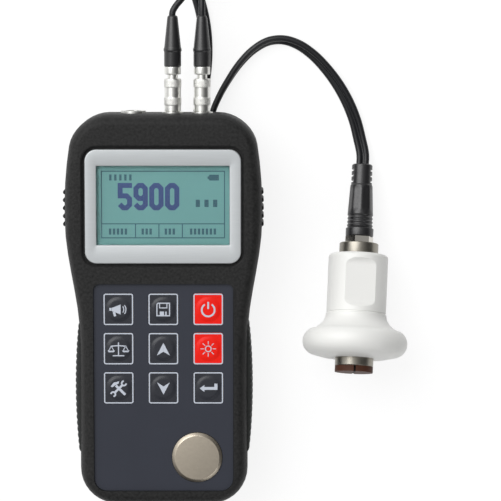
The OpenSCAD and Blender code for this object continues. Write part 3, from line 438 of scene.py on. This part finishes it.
bezel_silver = brushed("bezel_silver", (197, 201, 203), 0.4, (120, 5200, 120), depth=0.003, tone=0.07,
                       metal=0.35)
add_piece("bezel_frame", surface("bezel_frame", bezel_points()), bezel_silver, "gauge", "bezel_silver",
          "lcd_bezel")

# Keypad: a dark slate polycarbonate overlay, printed from behind, over snap domes. Each key is a raised dome
# embossed in the film, inside a pale printed frame, with a pale sign.

overlay_slate = moulded("overlay_slate", (50, 53, 63), 0.44, tone=0.08, fine=2600, depth=0.01,
                        Specular_IOR_Level=0.3)
solid_piece("keypad_film", "keypad_overlay", overlay_slate, "gauge", "overlay_slate", 25)
key_z, key_top, key_w, key_h = 30.5, 31.0, 11.4, 12.2
key_columns, key_rows = (-17.1, 0.0, 17.1), (0.05, -15.06, -30.16)


def key_height(x, y):
    """Top of a key: flat, with an embossed dome of 0.36 mm, which rises between radius 5 and 3.2 as a smooth
    step that starts a little harder than it ends."""
    q = np.clip((5 - np.hypot(x, y)) / 1.8, 0, 1) ** 0.85
    return key_top + 0.36 * q * q * (3 - 2 * q)


def key_points(cx, cy):
    """Key tile: rounded rectangles from the middle of its top outwards, over a small edge and down to its
    underside, with the dome's height added on the top."""
    rings = []
    for share in np.append(np.linspace(0, 0.55, 12), np.linspace(0.58, 1, 40)):
        half = np.array([key_w / 2 - 0.12, key_h / 2 - 0.12]) * share
        flat = rounded_ring(*half, 0.88 * share ** 6 + min(half) * 0.98 * (1 - share ** 6), 20)
        rings.append(np.column_stack([flat, key_height(flat[:, 0], flat[:, 1])]))
    for inset, z in ((0.04, key_top - 0.04), (0, key_top - 0.12), (0, key_z)):
        flat = rounded_ring(key_w / 2 - inset, key_h / 2 - inset, 1 - inset, 20)
        rings.append(at_height(flat, z))
    rings.append(rings[-1] * [0, 0, 1])
    return (np.array(rings) + [cx, cy, 0]) * mm


key_slate = moulded("key_slate", (43, 45, 52), 0.3, tone=0.08, fine=2600, depth=0.004,
                    Specular_IOR_Level=0.4)
key_red = moulded("key_red", (240, 30, 18), 0.3, tone=0.05, fine=2600, depth=0.004, Specular_IOR_Level=0.2)
print_pale = moulded("print_pale", (196, 202, 214), 0.45, tone=0.04, depth=0.003)


def arrow(tip, wing, notch):
    """Arrowhead with a notched tail, from its two halves."""
    tip, wing, notch = np.array(tip), np.array(wing), np.array(notch)
    other = wing * [-1, 1]
    return [strip(along([tip, wing]), np.linspace(tip, notch, len(along([tip, wing]))), 3),
            strip(along([tip, other]), np.linspace(tip, notch, len(along([tip, other]))), 3)]


def jaw(cx, cy, facing):
    """Open jaw of a spanner: most of a circle, open towards facing degrees."""
    return stroke(arc(cx, cy, 0.85, facing + 48, facing + 312, 20), 0.62)


sun_rays = [stroke([(1.7 * c, 1.7 * s), (2.95 * c, 2.95 * s)], 0.3)
            for c, s in zip(np.cos(np.arange(8) * np.pi / 4), np.sin(np.arange(8) * np.pi / 4))]
pans = [stroke(line, 0.3) for m in (-1, 1) for line in (
    [(2.75 * m, 1.05), (3.75 * m, -0.75)], [(2.75 * m, 1.05), (1.75 * m, -0.75)])]
pans += [strip(along([(x - 1.45, -0.7), (x + 1.45, -0.7)], 0.3),
               along([(x - 0.95, -1.3), (x + 0.95, -1.3)], 0.2), 3) for x in (-2.75, 2.75)]
signs = {
    "key_sound": [bar(-3.4, -0.5, -2.6, 0.6),
                  strip(along([(-2.5, 0.6), (0.9, 1.9)]), along([(-2.5, -0.6), (0.9, -1.9)]), 3),
                  stroke([(-1.7, -0.9), (-1.2, -2.6)], 0.9), stroke(arc(0.2, 0, 1.9, -38, 38), 0.36),
                  stroke(arc(0.2, 0, 2.7, -38, 38), 0.36)],
    "key_save": [stroke([(-2.4, -2.4), (2.4, -2.4), (2.4, 2.4), (-2.0, 2.4), (-2.4, 2.0), (-2.4, -2.4)],
                        0.42, True),
                 stroke([(-1.4, 2.3), (-1.4, 0.6), (1.4, 0.6), (1.4, 2.3)], 0.36),
                 bar(-1.3, -2.3, 0.3, -0.8), bar(0.75, -2.3, 1.3, -0.8)],
    "key_power": [stroke(arc(0, -0.2, 2.45, 122, 418, 40), 0.66), stroke([(0, 0.2), (0, 2.9)], 0.66)],
    "key_balance": [stroke([(0, 2.5), (0, -2.6)], 0.42),
                    stroke([(-2.95, 1.0), (0, 1.25), (2.95, 1.0)], 0.42),
                    stroke([(-2.2, -2.65), (2.2, -2.65)], 0.42)] + pans,
    "key_up": arrow((0, 2.3), (2.5, -2.55), (0, -1.1)),
    "key_light": [stroke(arc(0, 0, 1.1, 0, 360, 33), 0.36, True)] + sun_rays,
    "key_tools": [stroke([(-1.1, 1.0), (2.5, -2.6)], 0.95),
                  strip(along([(-3.1, 0.6), (-1.9, 2.1), (0.2, 2.6)]),
                        along([(-2.3, 0.3), (-1.3, 1.1), (0.0, 1.7)]), 2),
                  stroke([(1.45, 1.2), (-1.6, -1.9)], 0.85), jaw(2.0, 1.8, 45), jaw(-2.1, -2.4, 225)],
    "key_down": arrow((0, -2.5), (2.45, 2.2), (0, 0.6)),
    "key_enter": [strip(along([(-3.3, -0.15), (-1.5, 1.2)]), along([(-3.3, -0.15), (-1.5, -1.5)]), 3),
                  bar(-1.5, -0.7, 3.5, 0.4), bar(2.3, 0.4, 3.5, 1.7)],
}
for k, (key, shapes) in enumerate(signs.items()):
    cx, cy = key_columns[k % 3], key_rows[k // 3]
    skin = key_red if key in ("key_power", "key_light") else key_slate
    add_piece(key + "_cap", surface(key, key_points(cx, cy)), skin, key,
              "key_red" if skin is key_red else "overlay_slate", key)
    edge = stroke(rounded_ring(key_w / 2 - 0.3, key_h / 2 - 0.3, 0.65, 6), 0.46, True)
    printed(key + "_print", [edge] + shapes, lambda x, y: key_height(x, y) + 0.05, (cx, cy), print_pale, key,
            "overlay_slate", 0.06)

# Test disc: a ground steel disc with nickel plate and a turned chamfer, pressed into the front shell. It is
# a reference block of known thickness, on which the gauge is set.


def turned(profile, start, axis, side, n=120, ripple=None):
    """Points of a turned piece: distance s along the axis from start and radius r from the profile, angle
    round it from side, in n even steps or at the degrees in n. ripple(s, angle) is added to the radius."""
    s, r = np.asarray(profile, float).T
    angle = np.radians(n) if np.ndim(n) else np.linspace(0, 2 * np.pi, n + 1)
    radius = r[:, None] + 0 * angle
    if ripple is not None:
        radius = radius + ripple(s[:, None], angle[None, :])
    axis, side = np.asarray(axis, float), np.asarray(side, float)
    other = np.cross(axis, side)
    ring = side * np.cos(angle)[:, None] + other * np.sin(angle)[:, None]
    return (np.asarray(start) + s[:, None, None] * axis + radius[..., None] * ring[None]) * mm


def turned_map(profile, n=120):
    """Map of a turned piece: share of the turn, and millimetres along its profile."""
    p = np.asarray(profile, float)
    length = np.append(0, np.cumsum(np.linalg.norm(np.diff(p, axis=0), axis=1)))
    return np.stack(np.broadcast_arrays(np.linspace(0, 1, n + 1)[None, :], length[:, None]), -1)


def rounded(profile, r=0.15, n=4):
    """Profile with each corner rounded: two points r from the corner and a parabola between them."""
    p = np.asarray(profile, float)
    out = [p[:1]]
    for a, b, c in zip(p[:-2], p[1:-1], p[2:]):
        back, ahead = a - b, c - b
        la, lc = np.linalg.norm(back), np.linalg.norm(ahead)
        q = min(r, la * 0.45, lc * 0.45)
        start, end = b + back / la * q, b + ahead / lc * q
        t = np.linspace(0, 1, n)[:, None]
        out.append((1 - t) ** 2 * start + 2 * t * (1 - t) * b + t ** 2 * end)
    return np.concatenate(out + [p[-1:]])


disc_nickel = brushed("disc_nickel", (196, 186, 170), 0.36, (900, 900, 900), depth=0.002, tone=0.05)
disc_profile = rounded([(0, 0), (0, 9.6), (3.1, 9.6), (4.0, 8.45), (4.0, 0)], 0.1)
disc_points = turned(disc_profile, (12.8, -57.0, 28.2), (0, 0, 1), (1, 0, 0))
add_piece("disc_block", surface("disc_block", disc_points), disc_nickel, "gauge", "disc_nickel", "test_disc")

# Sockets: nickel-plated brass receptacles through the end wall, each with a round flange outside and a hex
# nut inside. The data socket stays open, the other two take the lead's plugs.

plug_chrome = brushed("plug_chrome", (230, 230, 226), 0.3, (300, 3500, 300), depth=0.003, tone=0.06)
for node in ("tx_socket", "rx_socket", "data_socket"):
    solid_piece(node + "_shell", node, plug_chrome, "gauge", "plug_chrome", 30)

# Plugs: push-pull coaxial plugs of chromed brass. A sleeve with two knurled bands slides on the core to
# unlatch it, and a nut at the back clamps the strain relief.

tx_x, rx_x, axis_z, sleeve_y, nut_y, boot_y, boot_len = 3.5, 14.7, 19.0, 74.9, 88.9, 91.9, 19.4


def knurl(s, angle):
    """Diamond knurl in the sleeve's two bands: the lower of two crossed sets of ridges, faded out at the
    bands' edges."""
    bands, fade, starts, slope, depth = ((2.3, 5.3), (9.1, 12.1)), 0.2, 15, 4, 0.16
    band = np.max([np.clip(np.minimum(s - low, high - s) / fade, 0, 1) for low, high in bands], axis=0)
    left, right = np.sin(starts * angle + slope * s), np.sin(starts * angle - slope * s)
    return band * (depth * np.minimum(np.abs(left), np.abs(right)) + 0.02)


sleeve_r, sleeve_bore, sleeve_len, edge_round = 3.15, 2.3, 12.4, 0.2
sleeve_profile = rounded([(0, sleeve_bore), (0, sleeve_r), (sleeve_len, sleeve_r), (sleeve_len, sleeve_bore),
                          (0, sleeve_bore)], edge_round)
outside = np.column_stack([np.linspace(0.25, sleeve_len - 0.25, 130), np.full(130, sleeve_r)])
first, last = (half[half[:, 1] < sleeve_r - 0.001] for half in np.array_split(sleeve_profile, 2))
sleeve_profile = np.concatenate([first, outside, last])
nut_profile = rounded([(0, 0), (0, 3.0), (0.3, 3.15), (2.7, 3.15), (3.0, 3.0), (3.0, 0)], 0.1)
boot_black = moulded("boot_black", (28, 28, 30), 0.34, tone=0.15, fine=1600, depth=0.01,
                     Specular_IOR_Level=0.7)
boot_profile = rounded([(0, 0), (0, 3.15), (0.35, 3.25), (5.6, 3.25), (6.0, 3.45), (6.7, 3.45), (7.2, 3.2),
                        (boot_len - 0.6, 1.98), (boot_len, 1.6), (boot_len, 0)], 0.35)
ahead, right = (0, 1, 0), (1, 0, 0)
for side, x in (("tx", tx_x), ("rx", rx_x)):
    sleeve = turned(sleeve_profile, (x, sleeve_y, axis_z), ahead, right, 240, knurl)
    add_piece(side + "_sleeve_knurled", surface(side + "_sleeve", sleeve, crease=60), plug_chrome,
              side + "_sleeve", "plug_chrome", side + "_plug_sleeve")
    solid_piece(side + "_core", side + "_plug_core", plug_chrome, "gauge", "plug_chrome", 30)
    nut = turned(nut_profile, (x, nut_y, axis_z), ahead, right)
    add_piece(side + "_clamp_nut", surface(side + "_nut", nut), plug_chrome, "gauge", "plug_chrome",
              side + "_plug_nut")
    boot = turned(boot_profile, (x, boot_y, axis_z), ahead, right)
    add_piece(side + "_boot_rubber", surface(side + "_boot", boot), boot_black, "gauge", "boot_black",
              side + "_boot")

# Lead: two coaxial strands of black PVC, single from the plugs to a moulded splitter and bonded side by side
# from there to the probe. The spare length is wound on its edge into a coil, held by two straps.


def smooth_line(points, step):
    """Even points on a curve through the given ones: Catmull-Rom, with the square roots of the chord lengths
    as its parameter."""
    p = np.asarray(points, float)
    p = np.vstack([2 * p[:1] - p[1:2], p, 2 * p[-1:] - p[-2:-1]])
    t = np.append(0, np.cumsum(np.linalg.norm(np.diff(p[:, :3], axis=0), axis=1) ** 0.5))
    parts = []
    for i in range(1, len(p) - 2):
        t0, t1, t2, t3 = t[i - 1:i + 3]
        u = np.linspace(t1, t2, 40)[:, None]
        a1 = (t1 - u) / (t1 - t0) * p[i - 1] + (u - t0) / (t1 - t0) * p[i]
        a2 = (t2 - u) / (t2 - t1) * p[i] + (u - t1) / (t2 - t1) * p[i + 1]
        a3 = (t3 - u) / (t3 - t2) * p[i + 1] + (u - t2) / (t3 - t2) * p[i + 2]
        b1 = (t2 - u) / (t2 - t0) * a1 + (u - t0) / (t2 - t0) * a2
        b2 = (t3 - u) / (t3 - t1) * a2 + (u - t1) / (t3 - t1) * a3
        parts.append(((t2 - u) / (t2 - t1) * b1 + (u - t1) / (t2 - t1) * b2)[:-1])
    line = np.concatenate(parts + [p[-2:-1]])
    length = np.append(0, np.cumsum(np.linalg.norm(np.diff(line[:, :3], axis=0), axis=1)))
    even = np.linspace(0, length[-1], int(length[-1] / step) + 1)
    return np.stack([np.interp(even, length, line[:, k]) for k in range(line.shape[1])], -1)


def swept(line, section):
    """Section carried along a line of x, y, z and roll: its first way lies level across the line at roll 0
    and stands upright at roll 90. Both ends are closed."""
    ahead = np.gradient(line[:, :3], axis=0)
    ahead /= np.linalg.norm(ahead, axis=1, keepdims=True)
    level = np.cross([0, 0, 1], ahead)
    level /= np.linalg.norm(level, axis=1, keepdims=True)
    up = np.cross(ahead, level)
    c, s = np.cos(np.radians(line[:, 3:])), np.sin(np.radians(line[:, 3:]))
    wide, thick = c * level + s * up, c * up - s * level
    loop = np.vstack([section, section[:1]])
    rings = line[:, None, :3] - loop[None, :, :1] * wide[:, None] + loop[None, :, 1:] * thick[:, None]
    middle = line[:, None, :3].repeat(len(loop), 1)
    return np.concatenate([middle[:1], rings, middle[-1:]]) * mm


strand_r, strand_off, lead_z = 1.25, 1.4, 3.1
boot_end = boot_y + boot_len
split_len, split_turn = 14, math.radians(63)
split_end = np.array([33.6, 160.8])
split_way = np.array([math.cos(split_turn), math.sin(split_turn)])
split_start = split_end - split_len * split_way


def lead_seat(off, back):
    """Point behind the splitter's front face, off to one side of its middle."""
    x, y = split_start - back * split_way + off * np.array([split_way[1], -split_way[0]])
    return (x, y, lead_z, 0)


tx_route = [(tx_x, boot_end - 2, axis_z, 0), (tx_x, boot_end + 1.2, axis_z, 0), (4.7, 114.8, 18.8, 0),
            (7.2, 117.8, 18.2, 0), (9.9, 121.4, 16.6, 0), (12, 125.6, 14.2, 0), (13.6, 130, 11.4, 0),
            (15.6, 134.4, 9, 0), (18.2, 138.6, 7.3, 0), (22.4, 143, 5.6, 0), (24.7, 146, 3.8, 0),
            lead_seat(-strand_off, 1.2), lead_seat(-strand_off, -1)]
rx_route = [(rx_x, boot_end - 2, axis_z, 0), (rx_x, boot_end + 1.2, axis_z, 0),
            (rx_x, boot_end + 3.6, 18.8, 0), (14.9, 121, 17.4, 0), (16, 127, 13.4, 0), (18.5, 132.6, 9.4, 0),
            (21.7, 137.6, 7.3, 0), (25, 142, 5.6, 0), (27.3, 145.2, 3.8, 0), lead_seat(strand_off, 1.2),
            lead_seat(strand_off, -1)]
inner_route = [(*(split_end - split_way), lead_z, 0), (*(split_end + 1.2 * split_way), lead_z, 4),
               (35.1, 164.4, lead_z, 30), (35.6, 168.6, lead_z, 70), (34.4, 173, lead_z, 90),
               (30.8, 176.6, lead_z, 90), (26, 178, lead_z, 90), (21, 177.2, lead_z, 90),
               (16.6, 174.6, lead_z, 90)]
coil_x, coil_y, coil_r, coil_pitch = 33, 161, 25.05, 2.7
coil_turn = np.arange(165, 1270, 20)
coil_reach = coil_r + coil_pitch * (coil_turn - 150) / 360
coil = np.column_stack([coil_x + coil_reach * np.cos(np.radians(coil_turn)),
                        coil_y + coil_reach * np.sin(np.radians(coil_turn)),
                        np.full(len(coil_turn), lead_z), np.full(len(coil_turn), 90.0)])
probe_lean, table_gap = math.radians(2.75), 0.05
flange_r, flange_round, flange_s, probe_end_s, tip_r = 20.2, 4.9, 11.5, 81.0, 3.9
rim_r, probe_reach = flange_r - flange_round, probe_end_s - flange_s
probe_tilt = math.asin(flange_round / math.hypot(probe_reach, rim_r - tip_r))
probe_tilt += math.atan((rim_r - tip_r) / probe_reach)
probe_z = rim_r * math.cos(probe_tilt) + flange_round + flange_s * math.sin(probe_tilt) + table_gap
probe_at = np.array([72.9, -25.5, probe_z])
level_share = math.cos(probe_tilt)
probe_way = np.array([math.sin(probe_lean) * level_share, math.cos(probe_lean) * level_share,
                      -math.sin(probe_tilt)])
probe_side = np.array([math.cos(probe_lean), -math.sin(probe_lean), 0.0])
cable_end = probe_at + probe_end_s * probe_way
twin_route = [
    (1.4, 149.6, 3.1, 90), (4.4, 141.4, 3, 80), (7.2, 133.8, 2.7, 56), (9.8, 126.4, 2, 24),
    (12.3, 119.6, 1.4, 4), (14.2, 113, 1.3, 0), (15.5, 106, 1.3, 0), (16, 99, 1.3, 0), (15.8, 92, 1.3, 0),
    (15, 85.5, 1.4, 8), (13.9, 79, 1.9, 36), (12.6, 73, 2.4, 66), (10.8, 66, 2.6, 86),
    (8.2, 58.6, 2.6, 90), (5.8, 51.4, 2.6, 90), (5, 44.6, 2.6, 90), (6.8, 38.4, 2.6, 90),
    (11.2, 34.4, 2.6, 90), (16.8, 33.6, 2.6, 90), (21.8, 36.2, 2.6, 90), (24.4, 41.2, 2.6, 90),
    (24.2, 47.4, 2.6, 90), (22.2, 54, 2.6, 90), (19.6, 60.4, 2.6, 90), (18, 66.6, 2.6, 90),
    (18.4, 73, 2.6, 90), (20.8, 79.2, 2.6, 88), (24.6, 86, 2.6, 84), (29.2, 92.6, 2.6, 78),
    (34.4, 97.8, 2.6, 72), (40, 101, 2.6, 66), (45.8, 101.6, 2.5, 60), (51.6, 99.8, 2.5, 53),
    (57.4, 95.8, 2.4, 46), (62.6, 90.4, 2.3, 38), (67.2, 84.2, 2.1, 30), (71, 77.4, 1.9, 21),
    (73.8, 70.4, 1.7, 12), (75.6, 63.4, 1.9, 4),
    (*(cable_end + 4 * probe_way), 0), (*(cable_end - 2 * probe_way), 0)]
round_section = arc(0, 0, strand_r, 0, 360, 19)[:-1]
twin_section = np.vstack([arc(strand_r, 0, strand_r, -150, 150, 13),
                          arc(-strand_r, 0, strand_r, 30, 330, 13)])
lead_black = moulded("lead_black", (24, 25, 28), 0.38, tone=0.12, fine=900, depth=0.008,
                     Specular_IOR_Level=0.4)


def splitter_points():
    """Moulded splitter: superellipse sections, 7.2 mm wide and 4.4 mm high, along s from the single strands
    to the twin. Both ends are drawn in over 1 mm, and three grooves of 0.3 mm cross its two faces."""
    s = np.concatenate([np.linspace(0, 1, 9), np.linspace(1.15, split_len - 1.15, 118),
                        np.linspace(split_len - 1, split_len, 9)])[:, None]
    t = np.linspace(0, 2 * np.pi, 65)[None, :]
    full = 0.75 + 0.25 * np.sqrt(1 - (1 - np.minimum(s, split_len - s).clip(0, 1)) ** 2)
    off_groove = np.min([np.abs(s - 4.5), np.abs(s - 6.9), np.abs(s - 9.3)], axis=0)
    groove = 0.3 * np.clip((0.65 - off_groove) / 0.25, 0, 1)
    across = 3.6 * full * np.sign(np.cos(t)) * np.abs(np.cos(t)) ** 0.75
    rise = (2.2 * full - groove) * np.sign(np.sin(t)) * np.abs(np.sin(t)) ** 0.75
    x = split_start[0] + s * split_way[0] + across * split_way[1]
    y = split_start[1] + s * split_way[1] - across * split_way[0]
    rings = np.stack([x, y, lead_z + rise], -1)
    middle = rings.mean(1, keepdims=True).repeat(t.size, 1)
    return np.concatenate([middle[:1], rings, middle[-1:]]) * mm


splitter = add_piece("moulded_splitter", surface("moulded_splitter", splitter_points()), boot_black, "gauge",
                     "boot_black", "lead_splitter")
for side, route in (("tx", tx_route), ("rx", rx_route)):
    line = smooth_line(route, 0.8)
    lead = add_piece(side + "_strand", surface(side + "_strand", swept(line, round_section)), lead_black,
                     "gauge", "lead_black", side + "_lead")
line = smooth_line(np.vstack([inner_route, coil, twin_route]), 1.0)
twin = add_piece("twin_lead", surface("twin_lead", swept(line, twin_section), crease=50), lead_black,
                 "gauge", "lead_black", "twin_inner", "cable_coil", "twin_cable")


def strap_points(turn):
    """Strap round the coil's turns at an angle in degrees: a rounded loop, 13.3 by 6.2 mm outside and
    0.65 mm thick, carried 5 mm across with softened edges."""
    a = math.radians(turn)
    outward, across = np.array([math.cos(a), math.sin(a), 0]), np.array([-math.sin(a), math.cos(a), 0])
    rings = []
    for inset, at in ((0.65, -2.4), (0.15, -2.5), (0, -2.35), (0, 2.35), (0.15, 2.5), (0.65, 2.4),
                      (0.65, -2.4)):
        loop = rounded_ring(6.65 - inset, 3.1 - inset, 1.4 - inset)
        rings.append(loop[:, :1] * outward + loop[:, 1:] * [0, 0, 1] + at * across)
    return (np.array(rings) + strap_reach * outward + [coil_x, coil_y, strap_z]) * mm


strap_reach, strap_z = 29.25, 3.15
tie_black = moulded("tie_black", (28, 28, 29), 0.75, tone=0.3, fine=1100, depth=0.08,
                    Specular_IOR_Level=0.3)
straps = np.stack([strap_points(92), strap_points(312)])
add_piece("coil_straps", surface("coil_straps", straps), tie_black, "gauge", "tie_black", "cable_ties")

# Probe: a dual-element transducer. A turned steel body runs through a white plastic handle with a
# bell-shaped flange, which keeps fingers off hot work; two brown delay blocks face the work, with cork
# between them.

handle_face, handle_end, handle_r, handle_bore = 5.5, 45.7, 11.5, 7.5
flat_off, flat_turn, flat_low, flat_high, cutter_r = 9.9, 94, 27.3, 40.7, 3


def flat_cut(s, angle):
    """Two milled flats on the handle's grip, flat_off from the axis, one turned 4 degrees off the top: at
    each end the cutter's radius runs the plane out to the round."""
    turn = (angle - math.radians(flat_turn) + math.pi / 2) % math.pi - math.pi / 2
    past = np.clip(np.maximum(flat_low - s, s - flat_high), 0, cutter_r)
    plane = flat_off + cutter_r - np.sqrt(cutter_r ** 2 - past ** 2)
    return np.minimum(0, plane / np.cos(turn).clip(0.05) - handle_r)


handle_white = moulded("handle_white", (238, 238, 235), 0.42, tone=0.015, fine=700, coarse=40, depth=0.006)
neck_s, neck_len, neck_r, neck_rise, end_round = 16.4, 5.9, 11.75, flange_r - 15.9, 1.5
grip_end = handle_end - end_round
bell = [(handle_face, handle_bore), (handle_face, rim_r - 3)]
bell += [(flange_s + flange_round * math.sin(a) * 1.05, rim_r + flange_round * math.cos(a))
         for a in np.radians(np.linspace(-75, 65, 25))]
bell += [(neck_s + neck_len * u, neck_r + neck_rise * (1 - u) ** 2.2) for u in np.linspace(0, 1, 20)]
bell += [(22.4, 11.68), (22.55, 11.3), (22.85, 11.25), (23.1, handle_r)]
bell += [(s, handle_r) for s in np.concatenate([np.linspace(23.4, flat_low, 24), np.linspace(29, 39, 8),
                                                np.linspace(flat_high, grip_end, 24)])]
bell += [(grip_end + end_round * math.sin(a), handle_r - end_round + end_round * math.cos(a))
         for a in np.radians(np.linspace(15, 90, 8))]
bell += [(handle_end, handle_bore), (handle_face, handle_bore)]
flat_edge = math.degrees(math.acos(flat_off / handle_r))
edges = [flat_turn - flat_edge, flat_turn + flat_edge]
edges += [edge + 180 for edge in edges] + [edges[0] + 360]
round_it = np.concatenate([np.linspace(a, b, 60)[:-1] for a, b in zip(edges, edges[1:])] + [edges[-1:]])
handle = turned(bell, probe_at, probe_way, probe_side, round_it, flat_cut)
add_piece("bell_handle", surface("bell_handle", handle, crease=24), handle_white, "gauge", "handle_white",
          "probe_handle")
probe_steel = brushed("probe_steel", (146, 142, 133), 0.34, (160, 0.6, 1), depth=0.004, tone=0.14,
                      use_map=True)
body_profile = rounded([(2.3, 5.6), (2.3, 7.25), (2.5, 7.4), (handle_end, 7.4), (handle_end, 7.55),
                        (49.85, 7.55), (50.1, 7.3), (50.1, 0), (15.0, 0), (15.0, 5.6), (2.3, 5.6)], 0.12)
steel = turned(body_profile, probe_at, probe_way, probe_side)
add_piece("steel_body", surface("steel_body", steel, turned_map(body_profile)), probe_steel, "gauge",
          "probe_steel", "probe_body")
gland_nickel = moulded("gland_nickel", (206, 202, 194), 0.14, tone=0.05, fine=1500, depth=0.003,
                       Metallic=1.0)
solid_piece("gland_nut", "probe_gland_nut", gland_nickel, "gauge", "gland_nickel", 30)


def boot_ripple(s, angle):
    """Strain relief of the boot: near its tip three notches 0.9 mm long on each side, cut down to 3.3 mm
    from the axis, and faint facets along its middle."""
    first, last, pitch, notch_r, boot_r, facet_depth = 73.8, 79.4, 2.2, 3.3, 4.03, 0.22
    inside = (s > first - 0.3) * (s < last)
    notch = np.clip((0.52 - np.abs((s - first) % pitch - 0.45)) / 0.14, 0, 1) * inside
    facet = np.clip(np.minimum(s - 62.0, 72.5 - s) / 1.5, 0, 1)
    sides = np.minimum(0, notch_r / np.abs(np.cos(angle)).clip(0.05) - boot_r)
    return notch * sides - facet_depth * facet * np.abs(np.sin(4 * angle)) ** 1.5


long_boot = [(52.6, 0), (52.6, 5.0), (52.9, 5.35), (55.8, 5.4), (56.0, 5.1), (56.3, 4.65), (57.0, 5.1),
             (57.7, 4.6), (58.4, 5.05), (59.1, 4.55), (59.8, 5.0), (60.5, 4.55), (61.2, 5.0)]
long_boot += [(s, 4.95 - 0.055 * (s - 61.2)) for s in np.linspace(61.6, 72.6, 24)]
long_boot += [(s, 4.06 - 0.01 * (s - 73)) for s in np.linspace(73.1, 80.6, 120)]
long_boot += [(probe_end_s, 3.7), (probe_end_s, 0)]
long_boot = rounded(long_boot, 0.25, 3)
relief = turned(long_boot, probe_at, probe_way, probe_side, 96, boot_ripple)
add_piece("probe_strain_relief", surface("probe_strain_relief", relief), boot_black, "gauge", "boot_black",
          "probe_boot")
dress(moulded("delay_brown", (78, 48, 36), 0.55, tone=0.15, Specular_IOR_Level=0.15), "delay_block_tx",
      "delay_block_rx")
dress(moulded("barrier_cork", (40, 34, 30), 0.8, tone=0.2), "acoustic_barrier")

# Stage: a white floor that keeps a faint shadow, soft studio light that leans to the upper left, and a
# camera over the table that leans a little towards the sockets.

tilt, distance, focal_px, photo_px = math.radians(6), 1.0, 2636.38, 501
aim_x, aim_y, aim_z = 0.0332, 0.022681, 0.032
lens = bpy.data.cameras.new("camera")
lens.sensor_width = 36
lens.lens = focal_px * lens.sensor_width / photo_px
camera = bpy.data.objects.new("camera", lens)
bpy.context.scene.collection.objects.link(camera)
camera.location = (aim_x, aim_y + distance * math.sin(tilt), aim_z + distance * math.cos(tilt))
camera.rotation_euler = (-tilt, 0, 0)
bpy.context.scene.camera = camera


def seen_white(tree, lit, plain):
    """Mixes a lit shader with plain white for camera, glossy and transmission rays."""
    rays = tree.nodes.new("ShaderNodeLightPath")
    seen = rays.outputs["Is Camera Ray"]
    for kind in ("Is Glossy Ray", "Is Transmission Ray"):
        most = tree.nodes.new("ShaderNodeMath")
        most.operation = "MAXIMUM"
        tree.links.new(seen, most.inputs[0])
        tree.links.new(rays.outputs[kind], most.inputs[1])
        seen = most.outputs[0]
    mix = tree.nodes.new("ShaderNodeMixShader")
    tree.links.new(seen, mix.inputs["Fac"])
    tree.links.new(lit, mix.inputs[1])
    tree.links.new(plain, mix.inputs[2])
    return mix.outputs["Shader"]


floor_mesh = bpy.data.meshes.new("floor")
half_floor, floor_z = 12.0, -0.0001
floor_corners = [(x * half_floor, y * half_floor, floor_z) for x, y in ((-1, -1), (1, -1), (1, 1), (-1, 1))]
floor_mesh.from_pydata(floor_corners, [], [(0, 1, 2, 3)])
floor = bpy.data.objects.new("floor", floor_mesh)
bpy.context.scene.collection.objects.link(floor)
floor_white = bpy.data.materials.new("floor_white")
floor_white.use_nodes = True
floor_tree = floor_white.node_tree
lit = floor_tree.nodes["Principled BSDF"]
lit.inputs["Base Color"].default_value = (0.9, 0.9, 0.9, 1)
lit.inputs["Roughness"].default_value = 0.9
shade, glow = floor_tree.nodes.new("ShaderNodeBsdfDiffuse"), floor_tree.nodes.new("ShaderNodeEmission")
shade.inputs["Color"].default_value = (0.2, 0.2, 0.2, 1)
glow.inputs["Strength"].default_value = 0.85
white = floor_tree.nodes.new("ShaderNodeAddShader")
floor_tree.links.new(shade.outputs["BSDF"], white.inputs[0])
floor_tree.links.new(glow.outputs["Emission"], white.inputs[1])
floor_tree.links.new(seen_white(floor_tree, lit.outputs["BSDF"], white.outputs["Shader"]),
                     floor_tree.nodes["Material Output"].inputs["Surface"])
floor_mesh.materials.append(floor_white)

world = bpy.data.worlds.new("studio")
bpy.context.scene.world = world
world.use_nodes = True
sky_tree = world.node_tree
way, lean = sky_tree.nodes.new("ShaderNodeTexCoord"), sky_tree.nodes.new("ShaderNodeVectorMath")
lean.operation = "DOT_PRODUCT"
lean.inputs[1].default_value = (-0.6, 0.45, 0.66)
sky_tree.links.new(way.outputs["Generated"], lean.inputs[0])
soft = sky_tree.nodes.new("ShaderNodeValToRGB")
stops = soft.color_ramp.elements
for at, level in ((0.0, 0.1), (0.3, 0.2), (0.66, 0.62), (0.85, 0.9), (1.0, 1.2)):
    stop = stops[0] if at == 0 else stops[-1] if at == 1 else stops.new(at)
    stop.color = (level, level, level, 1)
sky_tree.links.new(lean.outputs["Value"], soft.inputs["Fac"])
sky_tree.links.new(soft.outputs["Color"], sky_tree.nodes["Background"].inputs["Color"])
light_aim = np.array([0.03, 0.03, 0.02])
for name, spot, size, power in (("key_light", (-0.42, 0.52, 0.8), 0.8, 6.3),
                                ("fill_light", (0.45, -0.7, 0.45), 0.7, 1.8)):
    lamp = bpy.data.lights.new(name, "AREA")
    lamp.energy, lamp.size = power, size
    held = bpy.data.objects.new(name, lamp)
    bpy.context.scene.collection.objects.link(held)
    held.location = spot
    aim = light_aim - np.array(spot)
    aim /= np.linalg.norm(aim)
    held.rotation_euler = (math.acos(-aim[2]), 0, math.atan2(aim[1], aim[0]) - math.pi / 2)

bpy.context.scene.view_settings.view_transform = "Standard"
